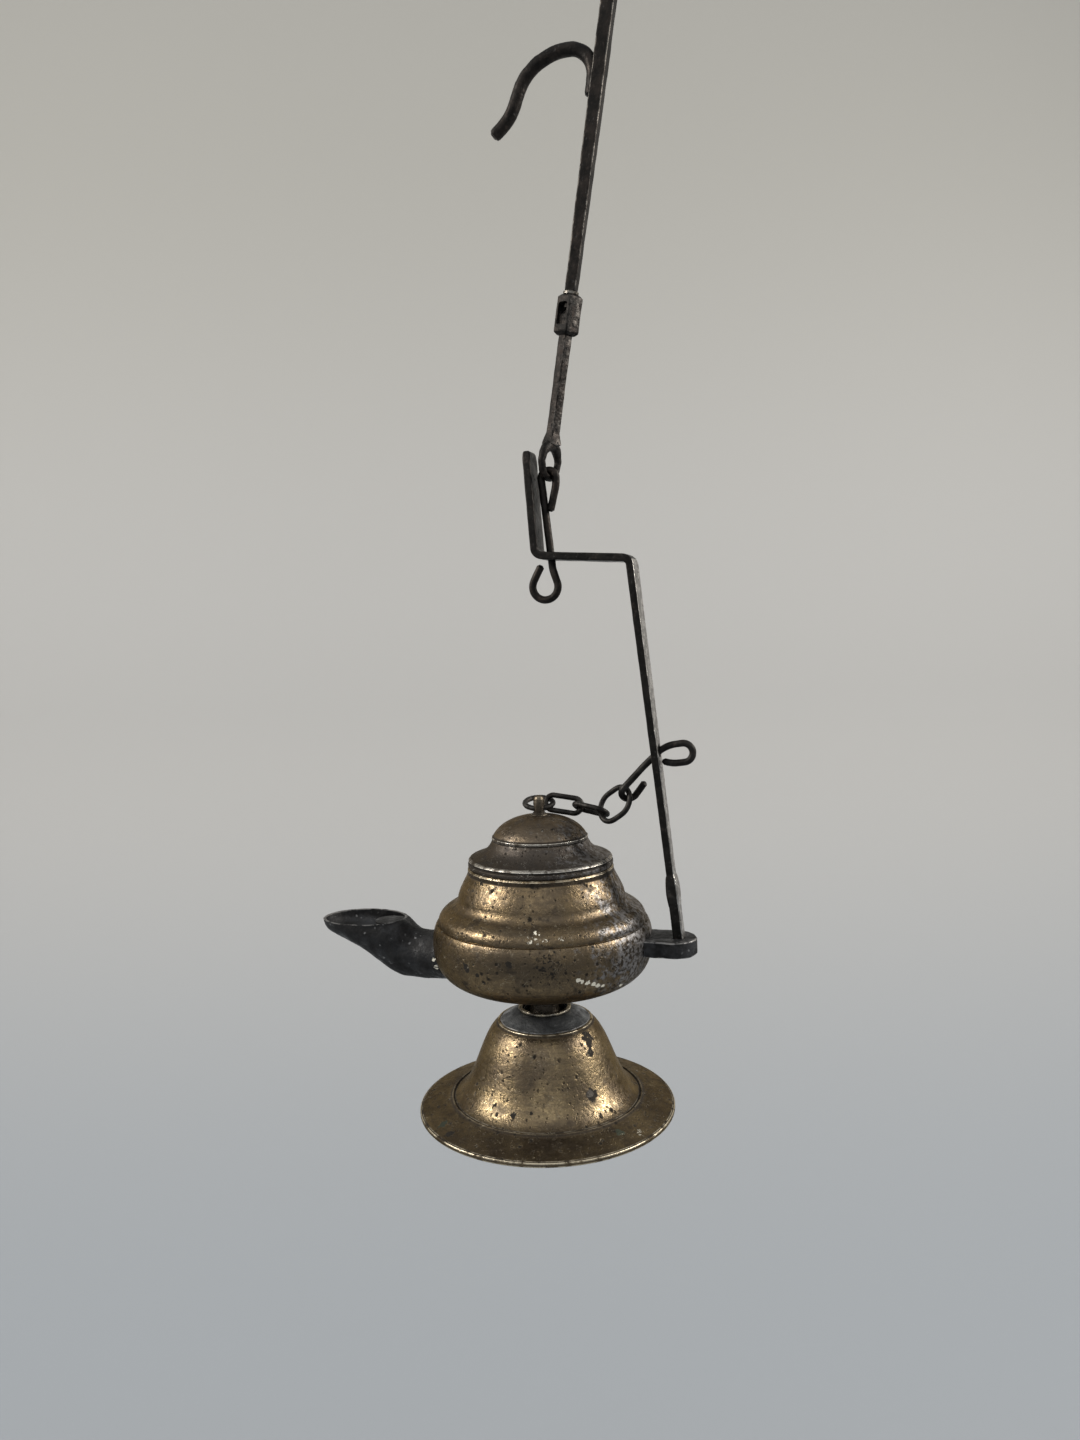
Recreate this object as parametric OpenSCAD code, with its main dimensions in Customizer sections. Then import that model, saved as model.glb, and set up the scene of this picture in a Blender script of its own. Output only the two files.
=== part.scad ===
// Miner's oil lamp: brass font and flared foot, lead-grey spout, lid on a short chain,
// iron strip handle, wire link, swivelling drop rod and a spiked hook above.
// Millimetres. Drawn with x from the lamp's axis towards the handle and h above the
// foot, then moved so that the origin is the saddle of the hook.

/* [Foot] */
// Radius of the foot's rim
foot_r = 26.2; // [25:0.1:27.5]
// Height of the bell, rim to lip
foot_h = 18.5; // [17.6:0.1:19.6]
// Outer radius of the bell just under its lip
bell_neck_r = 9.9; // [9.6:0.1:10.4]
// Radius of the crease between brim and flare
crease_r = 19.0; // [18:0.1:20.5]
// Height of that crease
crease_h = 3.0; // [2.6:0.1:3.4]
// Thickness of the sheet brass of foot and font
sheet = 0.8; // [0.6:0.05:1]
// Height of the disc's ridge above the bell's lip
disc_rise = 1.8; // [1.55:0.05:2.1]

/* [Stem] */
// Radius of the stem's flange under the font
stem_flange_r = 3.4; // [3:0.1:4]
// Radius of the stud through the foot disc
stud_r = 2.0; // [1.7:0.05:2.3]
// Clear height between the bell's lip and the font's bottom
font_lift = 6.3; // [5.5:0.1:7.5]
// Radius of the washer under the disc
stem_washer_r = 4.5; // [4:0.1:6]
// Thickness of that washer
stem_washer_t = 0.8; // [0.5:0.1:1.2]
// Radius of the bead on the disc's ridge
stem_collar_r = 5.0; // [4.8:0.05:5.2]
// Thickness of the bead
stem_collar_t = 0.8; // [0.6:0.05:1]

/* [Font] */
// Radius of the font below its seam
font_r = 22.0; // [21:0.1:23]
// Height of the seam above the font's bottom
seam_rise = 14.55; // [13.5:0.05:15.5]
// Height of the neck's top above the seam
neck_rise = 11.05; // [10:0.05:12]
// Inward step from lower to upper half at the seam
seam_step = 0.3; // [0.1:0.05:0.5]
// Outer radius of the filler neck
neck_r = 14.6; // [14:0.1:15.4]
// Radius of the wick hole behind the spout
wick_hole_r = 3.2; // [2.5:0.1:3.6]
// Height of the wick hole's middle above the font's bottom
wick_hole_rise = 7.3; // [7:0.1:7.8]
// Wall of the filler collar
collar_t = 0.6; // [0.4:0.05:0.8]
// Height of the filler collar above the neck
collar_rise = 1.2; // [0.8:0.1:1.3]
// Running clearance of the lid's sleeve in the collar
lid_clear = 0.15; // [0.1:0.01:0.2]

/* [Lid] */
// Overhang of the lid's rim beyond the neck
lid_over = 0.1; // [0:0.05:0.6]
// Height of the lid's rim
lid_rim_h = 1.75; // [1.6:0.05:2]
// Radius of the bead below the dome
dome_r = 9.6; // [9:0.1:10.2]
// Height of the flare, rim to dome bead
flare_h = 3.8; // [3.4:0.1:4.2]
// Height of the dome above its bead
dome_h = 4.6; // [4:0.1:5.2]
// Thickness of the lid's sheet
lid_t = 0.7; // [0.5:0.05:0.8]
// Length of the lid's sleeve below the neck's top
sleeve_depth = 6.5; // [6:0.1:8]
// Radius of the lid's knob
knob_r = 1.25; // [1.15:0.05:1.4]
// Height of the knob
knob_h = 4.0; // [3.4:0.1:4.6]
// Height of the knob's hole above the lid
knob_hole_h = 1.25; // [1.2:0.05:1.6]
// Diameter of the knob's hole
knob_hole_d = 1.8; // [1.75:0.05:1.9]

/* [Chain] */
// Wire of the ring and links
chain_d = 1.1; // [1:0.05:1.2]
// Centreline radius of the ring in the knob
ring_r = 2.85; // [2.8:0.05:3.2]
// Width of the two small links between wire centres
link_w = 3.1; // [3.05:0.05:3.4]
// Width of the large link between wire centres
big_link_w = 6.2; // [5.8:0.1:6.8]
// Wire of the toggle
toggle_d = 1.35; // [1.2:0.05:1.5]

/* [Handle] */
// Thickness of the iron strip
strip_t = 1.5; // [1.2:0.05:1.8]
// Width of the strip at its arm
strip_w = 5.2; // [4.6:0.1:6]
// Width of the strip above its swelling
strip_low_w = 2.9; // [2.7:0.1:3.4]
// Length of the leg, tang included, up to the corner
leg_l = 77.6; // [70:0.1:85]
// Lean of the leg towards the lamp's axis
leg_lean = 6.1; // [5.2:0.1:6.6]
// Length of the arm between corners
arm_l = 18.85; // [18:0.05:19.6]
// Rise of the arm towards the upright
arm_slope = 4; // [3:0.1:5]
// Length of the upright from its corner
upright_l = 20.2; // [16:0.1:24]
// Lean of the upright away from the handle
upright_lean = 3.4; // [2:0.1:6]
// Centreline radius of the strip's bends
strip_bend_r = 1.6; // [1.2:0.1:2.2]
// Thickness of the tang
tang_t = 2.0; // [1.6:0.1:2.4]
// Width of the tang
tang_w = 2.8; // [2.4:0.1:3]
// Height of the toggle's hole along the leg
toggle_hole_s = 39.4; // [38.8:0.1:40]

/* [Lug] */
// Half width and end radius of the lug
lug_r = 4.5; // [4:0.1:5]
// Thickness of the lug
lug_t = 3.2; // [2.8:0.1:3.6]
// Height of the lug's underside above the font's bottom
lug_rise = 9.0; // [8.6:0.1:9.6]
// Distance from the font's side to the tang
lug_reach = 6.34; // [5.9:0.01:6.8]
// Diameter of the cross pin
lug_pin_d = 1.2; // [1:0.05:1.4]

/* [Hanging link] */
// Wire of the hanging link
hang_d = 1.5; // [1.3:0.05:1.6]
// Length of the shank from the arm up to the bend
shank_l = 15.1; // [13:0.1:18]
// Centreline radius of the bend in the eye
hang_bend_r = 1.5; // [1.5:0.05:1.8]
// Distance of the shank's hole from the arm's end corner
shank_hole_s = 2.74; // [2.6:0.01:3.4]

/* [Drop rod] */
// Bar of the round eye
eye_d = 1.4; // [1.2:0.05:1.45]
// Centreline radius of the eye
eye_r = 3.1; // [2.9:0.1:3.6]
// Side of the square drop rod
drop_w = 2.0; // [1.7:0.05:2.3]
// Length of the drop rod above the eye
drop_l = 20.8; // [16:0.1:24]
// Side of the swivel block
block_w = 3.6; // [3.4:0.1:4.4]
// Length of the swivel block
block_l = 7.5; // [6.8:0.1:8.4]
// Width of the block's window
window_w = 2.4; // [2.3:0.05:2.7]
// Height of the window
window_h = 4.2; // [3.6:0.1:4.6]
// Diameter of the neck that turns in the block
neck_d = 1.5; // [1.3:0.05:1.6]

/* [Spike and hook] */
// Side of the square bar at the swivel
spike_low_w = 2.15; // [2:0.05:2.5]
// Side of the bar at the hook and above
spike_w = 2.6; // [2.3:0.05:3]
// Height of the hook's weld above the swivel block
hook_s = 35.7; // [30:0.1:40]
// Length of bar above the hook's weld
spike_over_hook = 67.7; // [50:0.1:80]
// Length of the spike's point
point_l = 16; // [10:0.5:25]
// Lean of the rods towards the handle
rod_lean = 9.55; // [8:0.05:11]
// Diameter of the hook's bar
hook_d = 2.5; // [2.2:0.05:2.8]
// Centreline radius of the hook's crown
hook_r = 4.9; // [4.6:0.1:5.4]

/* [Spout] */
// Reach of the spout beyond the font's seam
spout_l = 27.6; // [26:0.1:29]
// Wall of the spout
spout_t = 0.6; // [0.4:0.05:0.8]
// Height of the spout above the font's bottom
spout_rise = 0; // [-0.5:0.1:0.5]
// Thickness of the wick rest
rest_t = 0.5; // [0.4:0.05:0.7]
// Width of the wick rest
rest_w = 6.0; // [5:0.1:7]

/* [Hidden] */
$fn = 48;

// Gap left by solder or a tight seat
seat_gap = 0.03;
// Gap round a riveted or pinned shaft
pin_gap = 0.05;
// Steps of each drawn curve
curve_steps = 9;
// Largest turn between two rings of a bent wire, and sides of a ring
step_turn = 9;
wire_sides = 20;
brass = [0.56, 0.46, 0.28];
pale_brass = [0.72, 0.62, 0.42];
iron = [0.17, 0.16, 0.15];
lead = [0.33, 0.33, 0.35];
up = 90;

// Curves and outlines

// The point at share t of a cubic curve with four control points
function curve_at(c, t) = pow(1 - t, 3) * c[0] + 3 * t * pow(1 - t, 2) * c[1]
    + 3 * t * t * (1 - t) * c[2] + pow(t, 3) * c[3];
function curve(c) = [for (i = [0:curve_steps]) curve_at(c, i / curve_steps)];
function unit(v) = v / norm(v);
function left_of(v) = [-v[1], v[0]];
function reversed(p) = [for (i = [len(p) - 1:-1:0]) p[i]];
function after_first(p) = [for (i = [1:len(p) - 1]) p[i]];

// An outline moved by d to its left, with its corners kept
function inset(p, d) = [for (i = [0:len(p) - 1])
    let(ahead_dir = unit(p[min(i + 1, len(p) - 1)] - p[min(i, len(p) - 2)]),
        back_dir = unit(p[max(i, 1)] - p[max(i - 1, 0)]),
        n = unit(left_of(ahead_dir + back_dir)))
    p[i] + n * d / (n * left_of(ahead_dir))];

// Bent bars. A pose is [x, h, heading], a path is a list of [straight, turn, bend radius]

function ahead(p, l) = [p[0] + l * cos(p[2]), p[1] + l * sin(p[2]), p[2]];
function aside(p, l) = [p[0] - l * sin(p[2]), p[1] + l * cos(p[2]), p[2]];
function facing(p, heading) = [p[0], p[1], heading];
function bend_axis(p, turn, r) = [for (i = [0, 1]) aside(p, sign(turn) * r)[i]];
function turned(p, turn, r) =
    let(c = bend_axis(p, turn, r), h = p[2] + turn)
    [c[0] + sign(turn) * r * sin(h), c[1] - sign(turn) * r * cos(h), h];
function step_on(s, p) = s[1] == 0 ? ahead(p, s[0]) : turned(ahead(p, s[0]), s[1], s[2]);
function walk(path, n, p) = n == 0 ? p : step_on(path[n - 1], walk(path, n - 1, p));
function at(p, y = 0) = [p[0], y, p[1]];

// Moves its children to a pose: their Z runs along the heading, their X to its right
module on_pose(p) translate(at(p)) rotate([0, 90 - p[2], 0]) children();

// The poses along a path, with its bends in steps of at most step_turn
function trace(path, start) = concat([start], [for (i = [0:len(path) - 1]) each
    let(s = path[i], p = walk(path, i, start), q = ahead(p, s[0]), n = ceil(abs(s[1]) / step_turn))
    concat(s[0] > 0 ? [q] : [], [for (k = [1:1:n]) turned(q, s[1] * k / n, s[2])])]);

// A closed skin through rings of points
module loft(rings) {
    n = len(rings[0]);
    m = len(rings);
    sides = [for (i = [0:m - 2], j = [0:n - 1]) each
        [[i * n + j, i * n + (j + 1) % n, (i + 1) * n + (j + 1) % n],
            [i * n + j, (i + 1) * n + (j + 1) % n, (i + 1) * n + j]]];
    caps = [[for (j = [n - 1:-1:0]) j], [for (j = [0:n - 1]) (m - 1) * n + j]];
    polyhedron([for (r = rings) each r], concat(sides, caps));
}

// The ring of a round wire about a centre, given its two cross directions
function ring_about(centre, side, across, d, turn = 0) = [for (j = [0:wire_sides - 1])
    let(a = 360 * j / wire_sides + turn) centre + d / 2 * (cos(a) * side - sin(a) * across)];
function wire_ring(p, d) = ring_about(at(p), [sin(p[2]), 0, -cos(p[2])], [0, 1, 0], d);

// The rings of a round wire through poses, with worn ends
function wire_rings(poses, d) =
    let(first = poses[0], end = poses[len(poses) - 1], worn = 0.22 * d)
    concat([wire_ring(first, 0.6 * d), wire_ring(ahead(first, worn), d)],
        [for (i = [1:len(poses) - 2]) wire_ring(poses[i], d)],
        [wire_ring(ahead(end, -worn), d), wire_ring(end, 0.6 * d)]);

// The poses of a path walked backwards
function backwards(poses) = [for (p = reversed(poses)) [p[0], p[1], p[2] + 180]];

module ring(r, d) rotate_extrude() translate([r, 0]) circle(d = d, $fn = 24);

// A plate t thick whose width runs from w0 to w1 over l, along Z
module tapered_plate(t, w0, w1, l)
    translate([-t / 2, 0, 0]) rotate([90, 0, 90]) linear_extrude(t)
        polygon([[-w0 / 2, 0], [w0 / 2, 0], [w1 / 2, l], [-w1 / 2, l]]);

// A square bar along Z, from a list of [height, side]
module square_bar(sides) {
    wide = max([for (s = sides) s[1]]);
    outline = concat([for (s = sides) [s[1] / 2, s[0]]], [for (s = reversed(sides)) [-s[1] / 2, s[0]]]);
    intersection_for (turn = [0, 90]) rotate([0, 0, turn])
        translate([-wide / 2, 0, 0]) rotate([90, 0, 90]) linear_extrude(wide) polygon(outline);
}

// Heights above the foot

font_h = foot_h + font_lift;
seam_h = font_h + seam_rise;
neck_h = seam_h + neck_rise;
lid_h = neck_h + pin_gap;
lid_shoulder_h = lid_h + lid_rim_h;
dome_base_h = lid_shoulder_h + flare_h;
lid_top_h = dome_base_h + dome_h;

// Foot

rim_t = 1.0;
disc_r = bell_neck_r - 0.65;
disc_edge_t = 0.9;
disc_top_h = foot_h + disc_rise;
disc_under_h = foot_h - 1.2;
disc_bore_r = stud_r + pin_gap;
dish_r = stem_collar_r - stem_collar_t / 2 - 0.2;
dish_depth = 0.55;
ridge_r = stem_collar_r + stem_collar_t / 2 + 0.1;
brim = [[foot_r - 0.3, rim_t], [crease_r + 1, crease_h - 0.3]];
flare = curve([[crease_r, crease_h], [crease_r - 4.5, crease_h + 2.5],
    [bell_neck_r + 3.7, foot_h - 3.4], [bell_neck_r, foot_h - 0.5]]);
bell_outer = concat(brim, flare);
bell_inner = [for (p = inset(bell_outer, sheet)) if (p[1] < disc_under_h - 0.1) p];

module foot_bell() color(brass)
    rotate_extrude($fn = 96) polygon(concat(
        [[foot_r - 1.1, 0], [foot_r - 0.25, 0], [foot_r, 0.25], [foot_r, rim_t - 0.3]],
        bell_outer,
        [[bell_neck_r - 0.15, foot_h - 0.15], [bell_neck_r - 0.35, foot_h], [disc_r, foot_h],
            [disc_r, foot_h - disc_edge_t]],
        reversed(bell_inner)));

module foot_disc() color(lead)
    rotate_extrude() polygon([[disc_bore_r, disc_under_h], [disc_r - 0.7, disc_under_h],
        [disc_r - seat_gap, disc_under_h + 0.3], [disc_r - seat_gap, foot_h - 0.1],
        [ridge_r, disc_top_h], [dish_r, disc_top_h], [dish_r - 0.3, disc_top_h - dish_depth],
        [disc_bore_r, disc_top_h - dish_depth]]);

// Stem

rivet_t = 0.8;
rivet_h = disc_under_h - stem_washer_t;

module stem() color(pale_brass)
    rotate_extrude() polygon([[0, rivet_h - rivet_t], [stud_r + 0.4, rivet_h - rivet_t],
        [stud_r + 0.8, rivet_h - 0.3], [stud_r + 0.8, rivet_h], [stud_r, rivet_h],
        [stud_r, disc_top_h - dish_depth], [stem_flange_r - 0.3, disc_top_h - dish_depth],
        [stem_flange_r - 0.3, font_h - 0.7], [stem_flange_r, font_h - 0.4], [stem_flange_r, font_h],
        [0, font_h]]);

module stem_washer() color(brass)
    rotate_extrude() translate([disc_bore_r, rivet_h])
        square([stem_washer_r - disc_bore_r, stem_washer_t]);

module stem_collar() color(pale_brass)
    rotate_extrude() translate([stem_collar_r, disc_top_h]) {
        translate([-0.44 * stem_collar_t, 0]) square([0.88 * stem_collar_t, stem_collar_t / 2]);
        translate([0, stem_collar_t / 2]) circle(d = stem_collar_t);
    }

// Font

bowl_swell = 0.3;
bowl_widest_h = seam_h - 4.05;
seam_r = font_r - 0.6;
bowl = curve([[5, font_h], [font_r - 7.5, font_h + 2.05], [font_r + 0.15, font_h + 1.2],
    [font_r + bowl_swell, bowl_widest_h]]);
bowl_roll = curve([[font_r + bowl_swell, bowl_widest_h], [font_r + bowl_swell, seam_h - 2.3],
    [font_r, seam_h - 0.9], [seam_r, seam_h]]);
font_outer = concat(bowl, after_first(bowl_roll));
shoulder_end = [font_r - 3.8, seam_h + 3.4];
notch_end = [font_r - 5.1, seam_h + 5.35];
shoulder = curve([[seam_r - seam_step, seam_h], [seam_r - seam_step, seam_h + 1.35],
    [font_r - 1.4, seam_h + 2.35], shoulder_end]);
notch = curve([shoulder_end, [font_r - 4.5, seam_h + 3.75], [font_r - 4.95, seam_h + 4.55], notch_end]);
neck_curve = curve([notch_end, [font_r - 5.5, seam_h + 7.05], [neck_r + 0.7, neck_h - 2.4],
    [neck_r + 0.2, neck_h - 1.0]]);
upper_outer = concat(shoulder, after_first(notch), after_first(neck_curve));
neck_bore_r = neck_r - sheet;
neck_seat_h = neck_h - 2.1;
upper_inner = [for (p = inset(upper_outer, sheet)) if (p[1] < neck_seat_h - 0.4)
    [p[0], max(p[1], seam_h)]];
lower_inner = concat([for (p = inset(font_outer, sheet)) if (p[1] < seam_h - sheet) p],
    [[seam_r - sheet, seam_h]]);
wick_hole_h = font_h + wick_hole_rise;

// The lower half's outer body grown by g, which spout and lug are cut to
module font_body(g)
    rotate_extrude($fn = 96) polygon(concat([[0, font_h - g]], inset(font_outer, -g), [[0, seam_h]]));

module font_lower() color(brass)
    difference() {
        rotate_extrude($fn = 96) polygon(concat([[0, font_h]], font_outer,
            reversed(lower_inner), [[0, font_h + sheet]]));
        translate([0, 0, wick_hole_h]) rotate([0, -90, 0]) cylinder(r = wick_hole_r, h = font_r + 2);
    }

module font_upper() color(brass)
    rotate_extrude($fn = 96) polygon(concat(upper_outer,
        [[neck_r + 0.2, neck_h - 0.3], [neck_r, neck_h], [neck_bore_r, neck_h],
            [neck_bore_r, neck_seat_h]],
        reversed(upper_inner)));

collar_outer_r = neck_bore_r - 0.6;
collar_inner_r = collar_outer_r - collar_t;
collar_flange_t = 1.0;

module filler_collar() color(brass)
    rotate_extrude($fn = 64) polygon([[collar_inner_r, neck_seat_h],
        [neck_bore_r - seat_gap, neck_seat_h], [neck_bore_r - seat_gap, neck_seat_h + collar_flange_t],
        [collar_outer_r, neck_seat_h + collar_flange_t], [collar_outer_r, neck_h + collar_rise],
        [collar_inner_r, neck_h + collar_rise]]);

// Lid

lid_r = neck_r + lid_over;
lid_flare = curve([[lid_r - 0.5, lid_shoulder_h + 0.15], [lid_r - 3.55, lid_shoulder_h + 1.05],
    [dome_r + 0.83, dome_base_h - 1.85], [dome_r, dome_base_h - 0.1]]);
dome = curve([[dome_r - 0.1, dome_base_h + 0.6], [dome_r - 1.84, lid_top_h - 0.68],
    [2.9, lid_top_h - 0.02], [2.0, lid_top_h]]);
lid_rim = [[lid_r - 0.2, lid_h], [lid_r, lid_h + 0.35], [lid_r, lid_h + 0.85],
    [lid_r - 0.3, lid_h + 1.1], [lid_r - 0.15, lid_h + 1.4], [lid_r - 0.3, lid_shoulder_h]];
lid_bead = [[dome_r + 0.15, dome_base_h + 0.1], [dome_r + 0.15, dome_base_h + 0.4]];
lid_bore_r = lid_r - 0.3 - lid_t;
lid_inner = inset(concat(lid_flare, dome), lid_t);
knob_bore_r = 1.0;
sleeve_r = collar_inner_r - lid_clear;
sleeve_t = 0.6;

// Height of the lid's underside at the sleeve's outer and inner radius
function under_lid(r) = [for (i = [0:len(lid_inner) - 2])
    if (lid_inner[i][0] >= r && lid_inner[i + 1][0] < r)
        let(a = lid_inner[i], b = lid_inner[i + 1])
        a[1] + (b[1] - a[1]) * (a[0] - r) / (a[0] - b[0])][0];

module lid_shell() color(brass)
    rotate_extrude($fn = 96) polygon(concat(lid_rim, lid_flare, lid_bead, dome,
        [[knob_bore_r, lid_top_h], [knob_bore_r, lid_top_h - lid_t]],
        reversed(lid_inner), [[lid_bore_r, lid_shoulder_h - lid_t], [lid_bore_r, lid_h]]));

module lid_collar() color(brass)
    rotate_extrude($fn = 64) polygon([[sleeve_r - sleeve_t, neck_h - sleeve_depth],
        [sleeve_r, neck_h - sleeve_depth], [sleeve_r, under_lid(sleeve_r) - seat_gap],
        [sleeve_r - sleeve_t, under_lid(sleeve_r - sleeve_t) - seat_gap]]);

knob_turn = 17;
knob_eye = [0, 0, lid_top_h + knob_hole_h];
knob_stud_r = knob_bore_r - seat_gap;

module lid_knob() color(pale_brass)
    difference() {
        rotate_extrude() polygon([[0, lid_top_h - lid_t - 0.7],
            [knob_stud_r + 0.3, lid_top_h - lid_t - 0.7],
            [knob_stud_r + 0.6, lid_top_h - lid_t - 0.3], [knob_stud_r + 0.6, lid_top_h - lid_t],
            [knob_stud_r, lid_top_h - lid_t], [knob_stud_r, lid_top_h], [knob_r + 0.35, lid_top_h],
            [knob_r + 0.1, lid_top_h + 0.35], [knob_r, lid_top_h + 0.6],
            [knob_r - 0.2, lid_top_h + knob_h - 0.7], [knob_r - 0.5, lid_top_h + knob_h - 0.2],
            [0.3, lid_top_h + knob_h], [0, lid_top_h + knob_h]]);
        translate(knob_eye) rotate([0, 0, knob_turn]) rotate([0, 90, 0])
            cylinder(d = knob_hole_d, h = 2 * knob_r + 2, center = true);
    }

// Handle

lug_h = font_h + lug_rise;
tang_start = [font_r + lug_reach, lug_h + 0.1, up + leg_lean];
arm_heading = 180 - arm_slope;
leg_turn = arm_heading - up - leg_lean;
upright_turn = up + upright_lean - arm_heading;
function corner_cut(turn) = strip_bend_r * tan(abs(turn) / 2);
leg_corner = facing(ahead(tang_start, leg_l), arm_heading);
shank_at = facing(ahead(leg_corner, arm_l - shank_hole_s), 96);
leg_end = ahead(tang_start, leg_l - corner_cut(leg_turn));
strip_path = [[0, leg_turn, strip_bend_r],
    [arm_l - corner_cut(leg_turn) - corner_cut(upright_turn), upright_turn, strip_bend_r]];
tang_l = 10.05;
swell_l = 5.35;
swell_t = 1.9;
swell_w = 3.2;
upright_run = upright_l - corner_cut(upright_turn);
shank_hole_d = hang_d + 0.4;
toggle_heading = 224;
toggle_at = facing(ahead(tang_start, toggle_hole_s), toggle_heading);
toggle_hole_d = toggle_d + 0.65;

strip_poses = concat(trace(strip_path, leg_end), [ahead(walk(strip_path, 2, leg_end), upright_run)]);
strip_line = concat([[tang_start[0], tang_start[1]]], [for (p = strip_poses) [p[0], p[1]]]);
strip_end = strip_line[len(strip_line) - 1] - strip_line[0];
strip_top_s = strip_end * [cos(tang_start[2]), sin(tang_start[2])];
strip_widths = [[tang_w - 0.2, 0.2], [tang_w - 0.2, tang_l + swell_l - 0.2],
    [strip_low_w, tang_l + swell_l - 0.2], [strip_w, leg_l], [strip_w, strip_top_s - 0.7],
    [strip_w - 1.4, strip_top_s + 0.1]];

// The strip's width seen from its end, on the leg's own slant
module strip_front()
    on_pose(tang_start) translate([-60, 0, 0]) rotate([90, 0, 90]) linear_extrude(120)
        polygon(concat([for (p = strip_widths) [p[0] / 2, p[1]]],
            [for (p = reversed(strip_widths)) [-p[0] / 2, p[1]]]));

module handle_strip() color(iron)
    difference() {
        union() {
            intersection() {
                translate([0, strip_w / 2 + 1, 0]) rotate([90, 0, 0]) linear_extrude(strip_w + 2)
                    polygon(concat(inset(strip_line, strip_t / 2),
                        reversed(inset(strip_line, -strip_t / 2))));
                strip_front();
            }
            on_pose(tang_start) tapered_plate(tang_t, tang_w, tang_w, tang_l + 0.5);
            on_pose(ahead(tang_start, tang_l)) {
                tapered_plate(swell_t, swell_w, swell_w, swell_l);
                translate([-0.2, 0, 0.8])
                    tapered_plate(swell_t, swell_w - 0.4, swell_w - 0.4, swell_l - 1.6);
            }
        }
        lug_pin_hole();
        on_pose(shank_at) cylinder(d = shank_hole_d, h = 4 * strip_t, center = true);
        on_pose(toggle_at) cylinder(d = toggle_hole_d, h = 6 * strip_t, center = true);
    }

pin_rise = 1.1;
pin_at = ahead(tang_start, pin_rise);
slot_clear = 0.06;

module lug_pin_hole()
    translate(at(pin_at)) rotate([90, 0, 0])
        cylinder(d = lug_pin_d + 2 * seat_gap, h = 4 * lug_r, center = true);

module handle_lug() color(lead)
    difference() {
        translate([0, 0, lug_h]) linear_extrude(lug_t) {
            translate([font_r - 4, -lug_r]) square([tang_start[0] - font_r + 2.66, 2 * lug_r]);
            translate([tang_start[0] - 1.34, 0]) circle(r = lug_r);
        }
        font_body(seat_gap);
        on_pose(ahead(tang_start, -3))
            tapered_plate(tang_t + 2 * slot_clear, tang_w + 2 * slot_clear, tang_w + 2 * slot_clear, 12);
        lug_pin_hole();
    }

module lug_pin() color(iron)
    translate(at(pin_at)) rotate([90, 0, 0]) cylinder(d = lug_pin_d, h = 2 * lug_r - 0.6, center = true);

// Hanging link

hang_up = [[shank_l, -186, hang_bend_r], [0.3, -15, 9], [4.0, 0, 1]];
hang_down = [[1.9, 12, 6], [2.1, -226, 2.6], [3.4, 0, 1]];
shank_down = facing(shank_at, shank_at[2] + 180);

module hanging_link() color(iron) {
    curl = backwards(trace(hang_down, shank_down));
    arch = trace(hang_up, shank_at);
    loft(wire_rings(concat(curl, after_first(arch)), hang_d));
}

// Drop rod and swivel

eye_lean = 7;
eye_turn = 13;
bar_turn = -28;
eye_at = bend_axis(ahead(shank_at, shank_l), -1, hang_bend_r);
rod_base = facing(ahead([eye_at[0], eye_at[1], up - eye_lean], 2 * eye_r), up - rod_lean);
block_s = drop_l;
bar_s = block_s + block_l + 0.5;
washer_gap = 0.04;
bore_d = neck_d + 2 * 0.08;
window_top = block_l - 1.6;
rivet_head_t = 0.8;
chamfer = 0.5;
eye_seat_w = 3.0;
eye_seat_l = 2.2;

module drop_rod() color(iron) {
    on_pose([eye_at[0], eye_at[1], up - eye_lean]) translate([0, 0, eye_r])
        rotate([0, 0, -eye_turn]) rotate([0, 90, 0]) ring(eye_r, eye_d);
    on_pose(rod_base) rotate([0, 0, bar_turn]) {
        square_bar([[0, eye_seat_w], [eye_seat_l, drop_w], [drop_l, drop_w]]);
    }
}

module swivel_block() color(iron)
    on_pose(ahead(rod_base, block_s)) rotate([0, 0, bar_turn]) difference() {
        square_bar([[0, block_w - 2 * chamfer], [chamfer, block_w], [block_l - chamfer, block_w],
            [block_l, block_w - 2 * chamfer]]);
        translate([-window_w / 2, -block_w, window_top - window_h]) cube([window_w, 2 * block_w, window_h]);
        translate([0, 0, window_top - 1]) cylinder(d = bore_d, h = block_l);
    }

module rivet_head() color(iron)
    on_pose(ahead(rod_base, block_s + window_top - washer_gap - rivet_head_t)) difference() {
        cylinder(d = window_w - 0.3, h = rivet_head_t);
        translate([0, 0, -1]) cylinder(d = neck_d + 2 * seat_gap, h = 4);
    }

module swivel_washer() color(pale_brass)
    on_pose(ahead(rod_base, block_s + block_l + washer_gap)) difference() {
        cylinder(d = block_w - 0.6, h = 0.5 - washer_gap);
        translate([0, 0, -1]) cylinder(d = neck_d + 2 * pin_gap, h = 3);
    }

// Spike and hook

hook_root_s = block_s + block_l + hook_s;
spike_l = hook_root_s + spike_over_hook - bar_s;
taper_l = hook_root_s - bar_s;
neck_low_s = block_s + window_top - washer_gap - rivet_head_t;
point_w = 0.5;
hook_size = hook_r / 4.9;
hook_path = [[3.0 * hook_size, 12, 8 * hook_size], [0, 85, hook_r], [0, 42, 11 * hook_size],
    [0, 28, 8 * hook_size], [2.6 * hook_size, -34, 10 * hook_size], [1.2 * hook_size, 0, 1]];
hook_root = facing(aside(ahead(rod_base, hook_root_s), 1.1), 81);
hook_crown = bend_axis(walk(hook_path, 2, hook_root), 1, hook_path[2][2]);
saddle = [hook_crown[0], 0, hook_crown[1] + hook_path[2][2] - hook_d / 2];

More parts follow.
